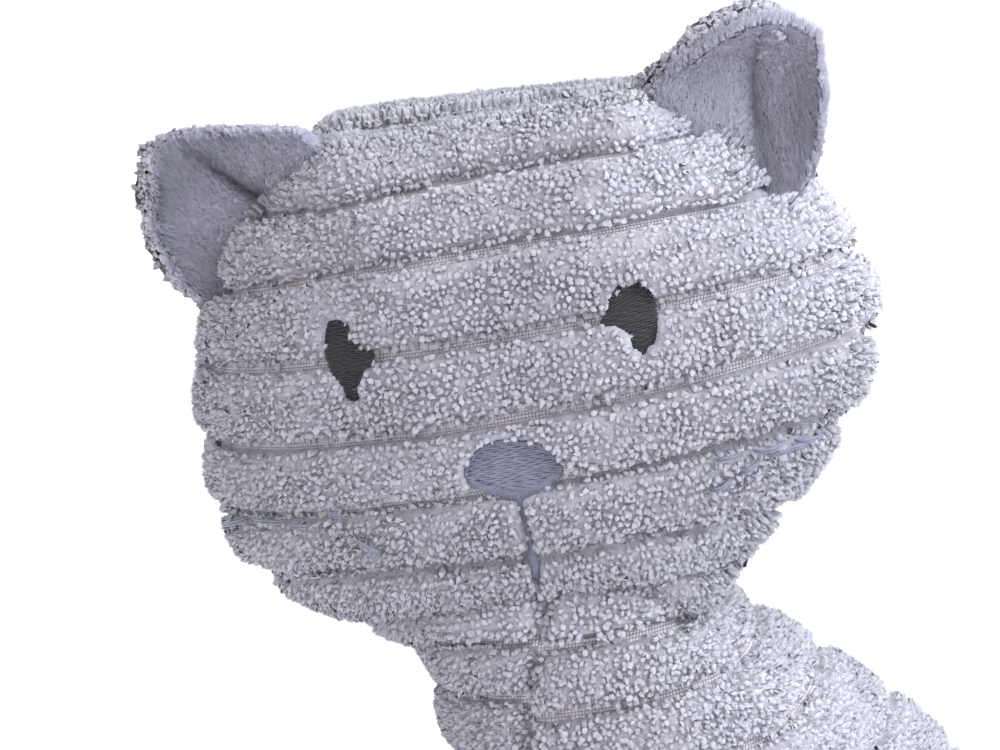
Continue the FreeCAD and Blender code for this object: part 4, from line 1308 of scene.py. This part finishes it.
def limb(name, rings, w, body, node_skin, H=3.0, du=1.6, seed=5, tufts_z=None, inner=None):
    cen = rings.mean(1, keepdims=True)
    ref = rings - cen + 0.0
    # the row ends close on themselves, so look outward from the whole limb too
    ref = unit(ref) + 0.15 * unit(rings - rings.reshape(-1, 3).mean(0))
    pan = ZPanel(rings, ref, w, wrap=True, H=H)
    size_ = np.linalg.norm(rings - cen, axis=-1).mean(1)
    for a_, b_ in ((0, 6), (-1, -7)):
        axis_ = unit(cen[a_, 0] - cen[b_, 0])
        ids = range(0, 8) if a_ == 0 else range(-8, 0)
        for i_ in ids:
            wgt_ = np.clip((4.0 - size_[i_]) / 3.0, 0, 1)
            pan.N[i_] = unit(pan.N[i_] * (1 - wgt_) + axis_ * wgt_)
    sk = pan.skin(f"{name}_cloth", [PLUSH_DEPTH_SHADE, WEAVE])
    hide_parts(node_skin)
    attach(sk, body)
    t = pan.tufts(du=du, dv=du * 1.03, seed=seed)
    if inner is not None:
        t = t[inner(t)]
    o = pile(f"{name}_pile", t, 13, 0.14, PLUSH, seed=seed + 40, spread=du * 0.52, H=H)
    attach(o, body)


for sx, nm in ((1, "left"), (-1, "right")):
    g = foreleg_rings(sx, 3.4)
    limb(f"{nm}_foreleg", g, g[..., 2] / 12.0 + 0.35, f"{nm}_foreleg", f"{nm}_foreleg_skin", seed=11 + sx)
    g = foreleg_rings(sx, 6.2, n=50, m=36)
    lump(f"{nm}_foreleg_fibre", g + unit(g - g.mean(1, keepdims=True)) * (0.5 * noise(g, 7.0, 3))[..., None], FIBRE,
         f"{nm}_foreleg_stuffing", f"{nm}_foreleg", "filling")
    g = hind_rings(sx, 3.4)
    limb(f"{nm}_hind_leg", g, g[..., 2] / 12.0 + 0.1, f"{nm}_hind_leg", f"{nm}_hind_leg_skin", seed=21 + sx)
    g = hind_rings(sx, 6.6, n=50, m=40)
    lump(f"{nm}_hind_leg_fibre", g, FIBRE, f"{nm}_hind_leg_stuffing", f"{nm}_hind_leg", "filling")

g, k_ = tail_rings(3.2)
limb("tail", g, np.broadcast_to((k_ / 12.0 + 0.3)[:, None], g.shape[:2]).copy(), "tail", "tail_skin", seed=31)
g, k_ = tail_rings(5.6, n=70, m=30)
lump("tail_fibre", g, FIBRE, "tail_stuffing", "tail", "filling")

# ------------------------------------------------------------------ floor, light, camera
def stage_and_light():
    me = bpy.data.meshes.new("studio_floor")
    k = 96
    a = [2 * math.pi * i / k for i in range(k)]
    me.from_pydata([(14 * math.cos(t), 14 * math.sin(t), -0.0006) for t in a], [], [tuple(range(k))])
    N = Nodes("studio_paper")
    f = obj_noise(N, 30.0, 3.0)
    col = N.ramp(f, [(0.3, (0.90, 0.90, 0.91)), (0.7, (0.93, 0.93, 0.94))])
    N.shader(col, 0.85, spec=0.1)
    me.materials.append(N.m)
    ob = bpy.data.objects.new("studio_floor", me)
    bpy.context.scene.collection.objects.link(ob)

    w = bpy.data.worlds.new("studio")
    bpy.context.scene.world = w
    w.use_nodes = True
    w.node_tree.nodes["Background"].inputs[0].default_value = (0.97, 0.98, 1.0, 1.0)
    w.node_tree.nodes["Background"].inputs[1].default_value = WORLD

    def area(name, where, size, power, color, look=HC):
        li = bpy.data.lights.new(name, "AREA")
        li.shape = "RECTANGLE"
        li.size, li.size_y = size
        li.energy = power
        li.color = color
        o = bpy.data.objects.new(name, li)
        bpy.context.scene.collection.objects.link(o)
        p = np.asarray(where) * MM
        o.location = p
        z = unit(p - np.asarray(look) * MM)
        x = unit(np.cross((0, 0, 1.0), z))
        y = np.cross(z, x)
        import mathutils
        o.rotation_euler = mathutils.Matrix(np.array([x, y, z]).T.tolist()).to_euler()

    area("key_softbox", HC + 540 * R + 380 * U + 340 * B, (0.85, 0.85), KEY, (0.93, 0.965, 1.0))
    area("fill_softbox", HC - 520 * R + 180 * U + 600 * B, (0.9, 0.9), FILL, (1.0, 0.985, 0.97))
    flat_b = np.array([B[0], B[1], 0.0]) / math.hypot(B[0], B[1])
    area("backdrop_lamp", np.array([0, 0, 2200.0]) - 2300 * flat_b, (4.4, 3.4), BACKL, (1.0, 1.0, 1.0), look=np.array([0, 0, 0.0]) - 2301 * flat_b)


WORLD, KEY, FILL, BACKL = 0.90, 15.0, 2.8, 54.0
stage_and_light()
cam = bpy.data.cameras.new("camera")
cam_ob = bpy.data.objects.new("camera", cam)
bpy.context.scene.collection.objects.link(cam_ob)
DIST = 700.0
cam.sensor_width = 36.0
cam.lens = 36.0 * DIST / (1000 * SCALE)
cam.clip_start, cam.clip_end = 0.02, 20.0
Rr = R * math.cos(ROLL) - U * math.sin(ROLL)
Ur = R * math.sin(ROLL) + U * math.cos(ROLL)
import mathutils
cam_ob.matrix_world = mathutils.Matrix.Translation((AIM + B * DIST) * MM) @ mathutils.Matrix(np.array([Rr, Ur, B]).T.tolist()).to_4x4()
bpy.context.scene.camera = cam_ob
vs = bpy.context.scene.view_settings
vs.view_transform = "Standard"
vs.look = "None"
vs.exposure = 0.0
vs.gamma = 1.0
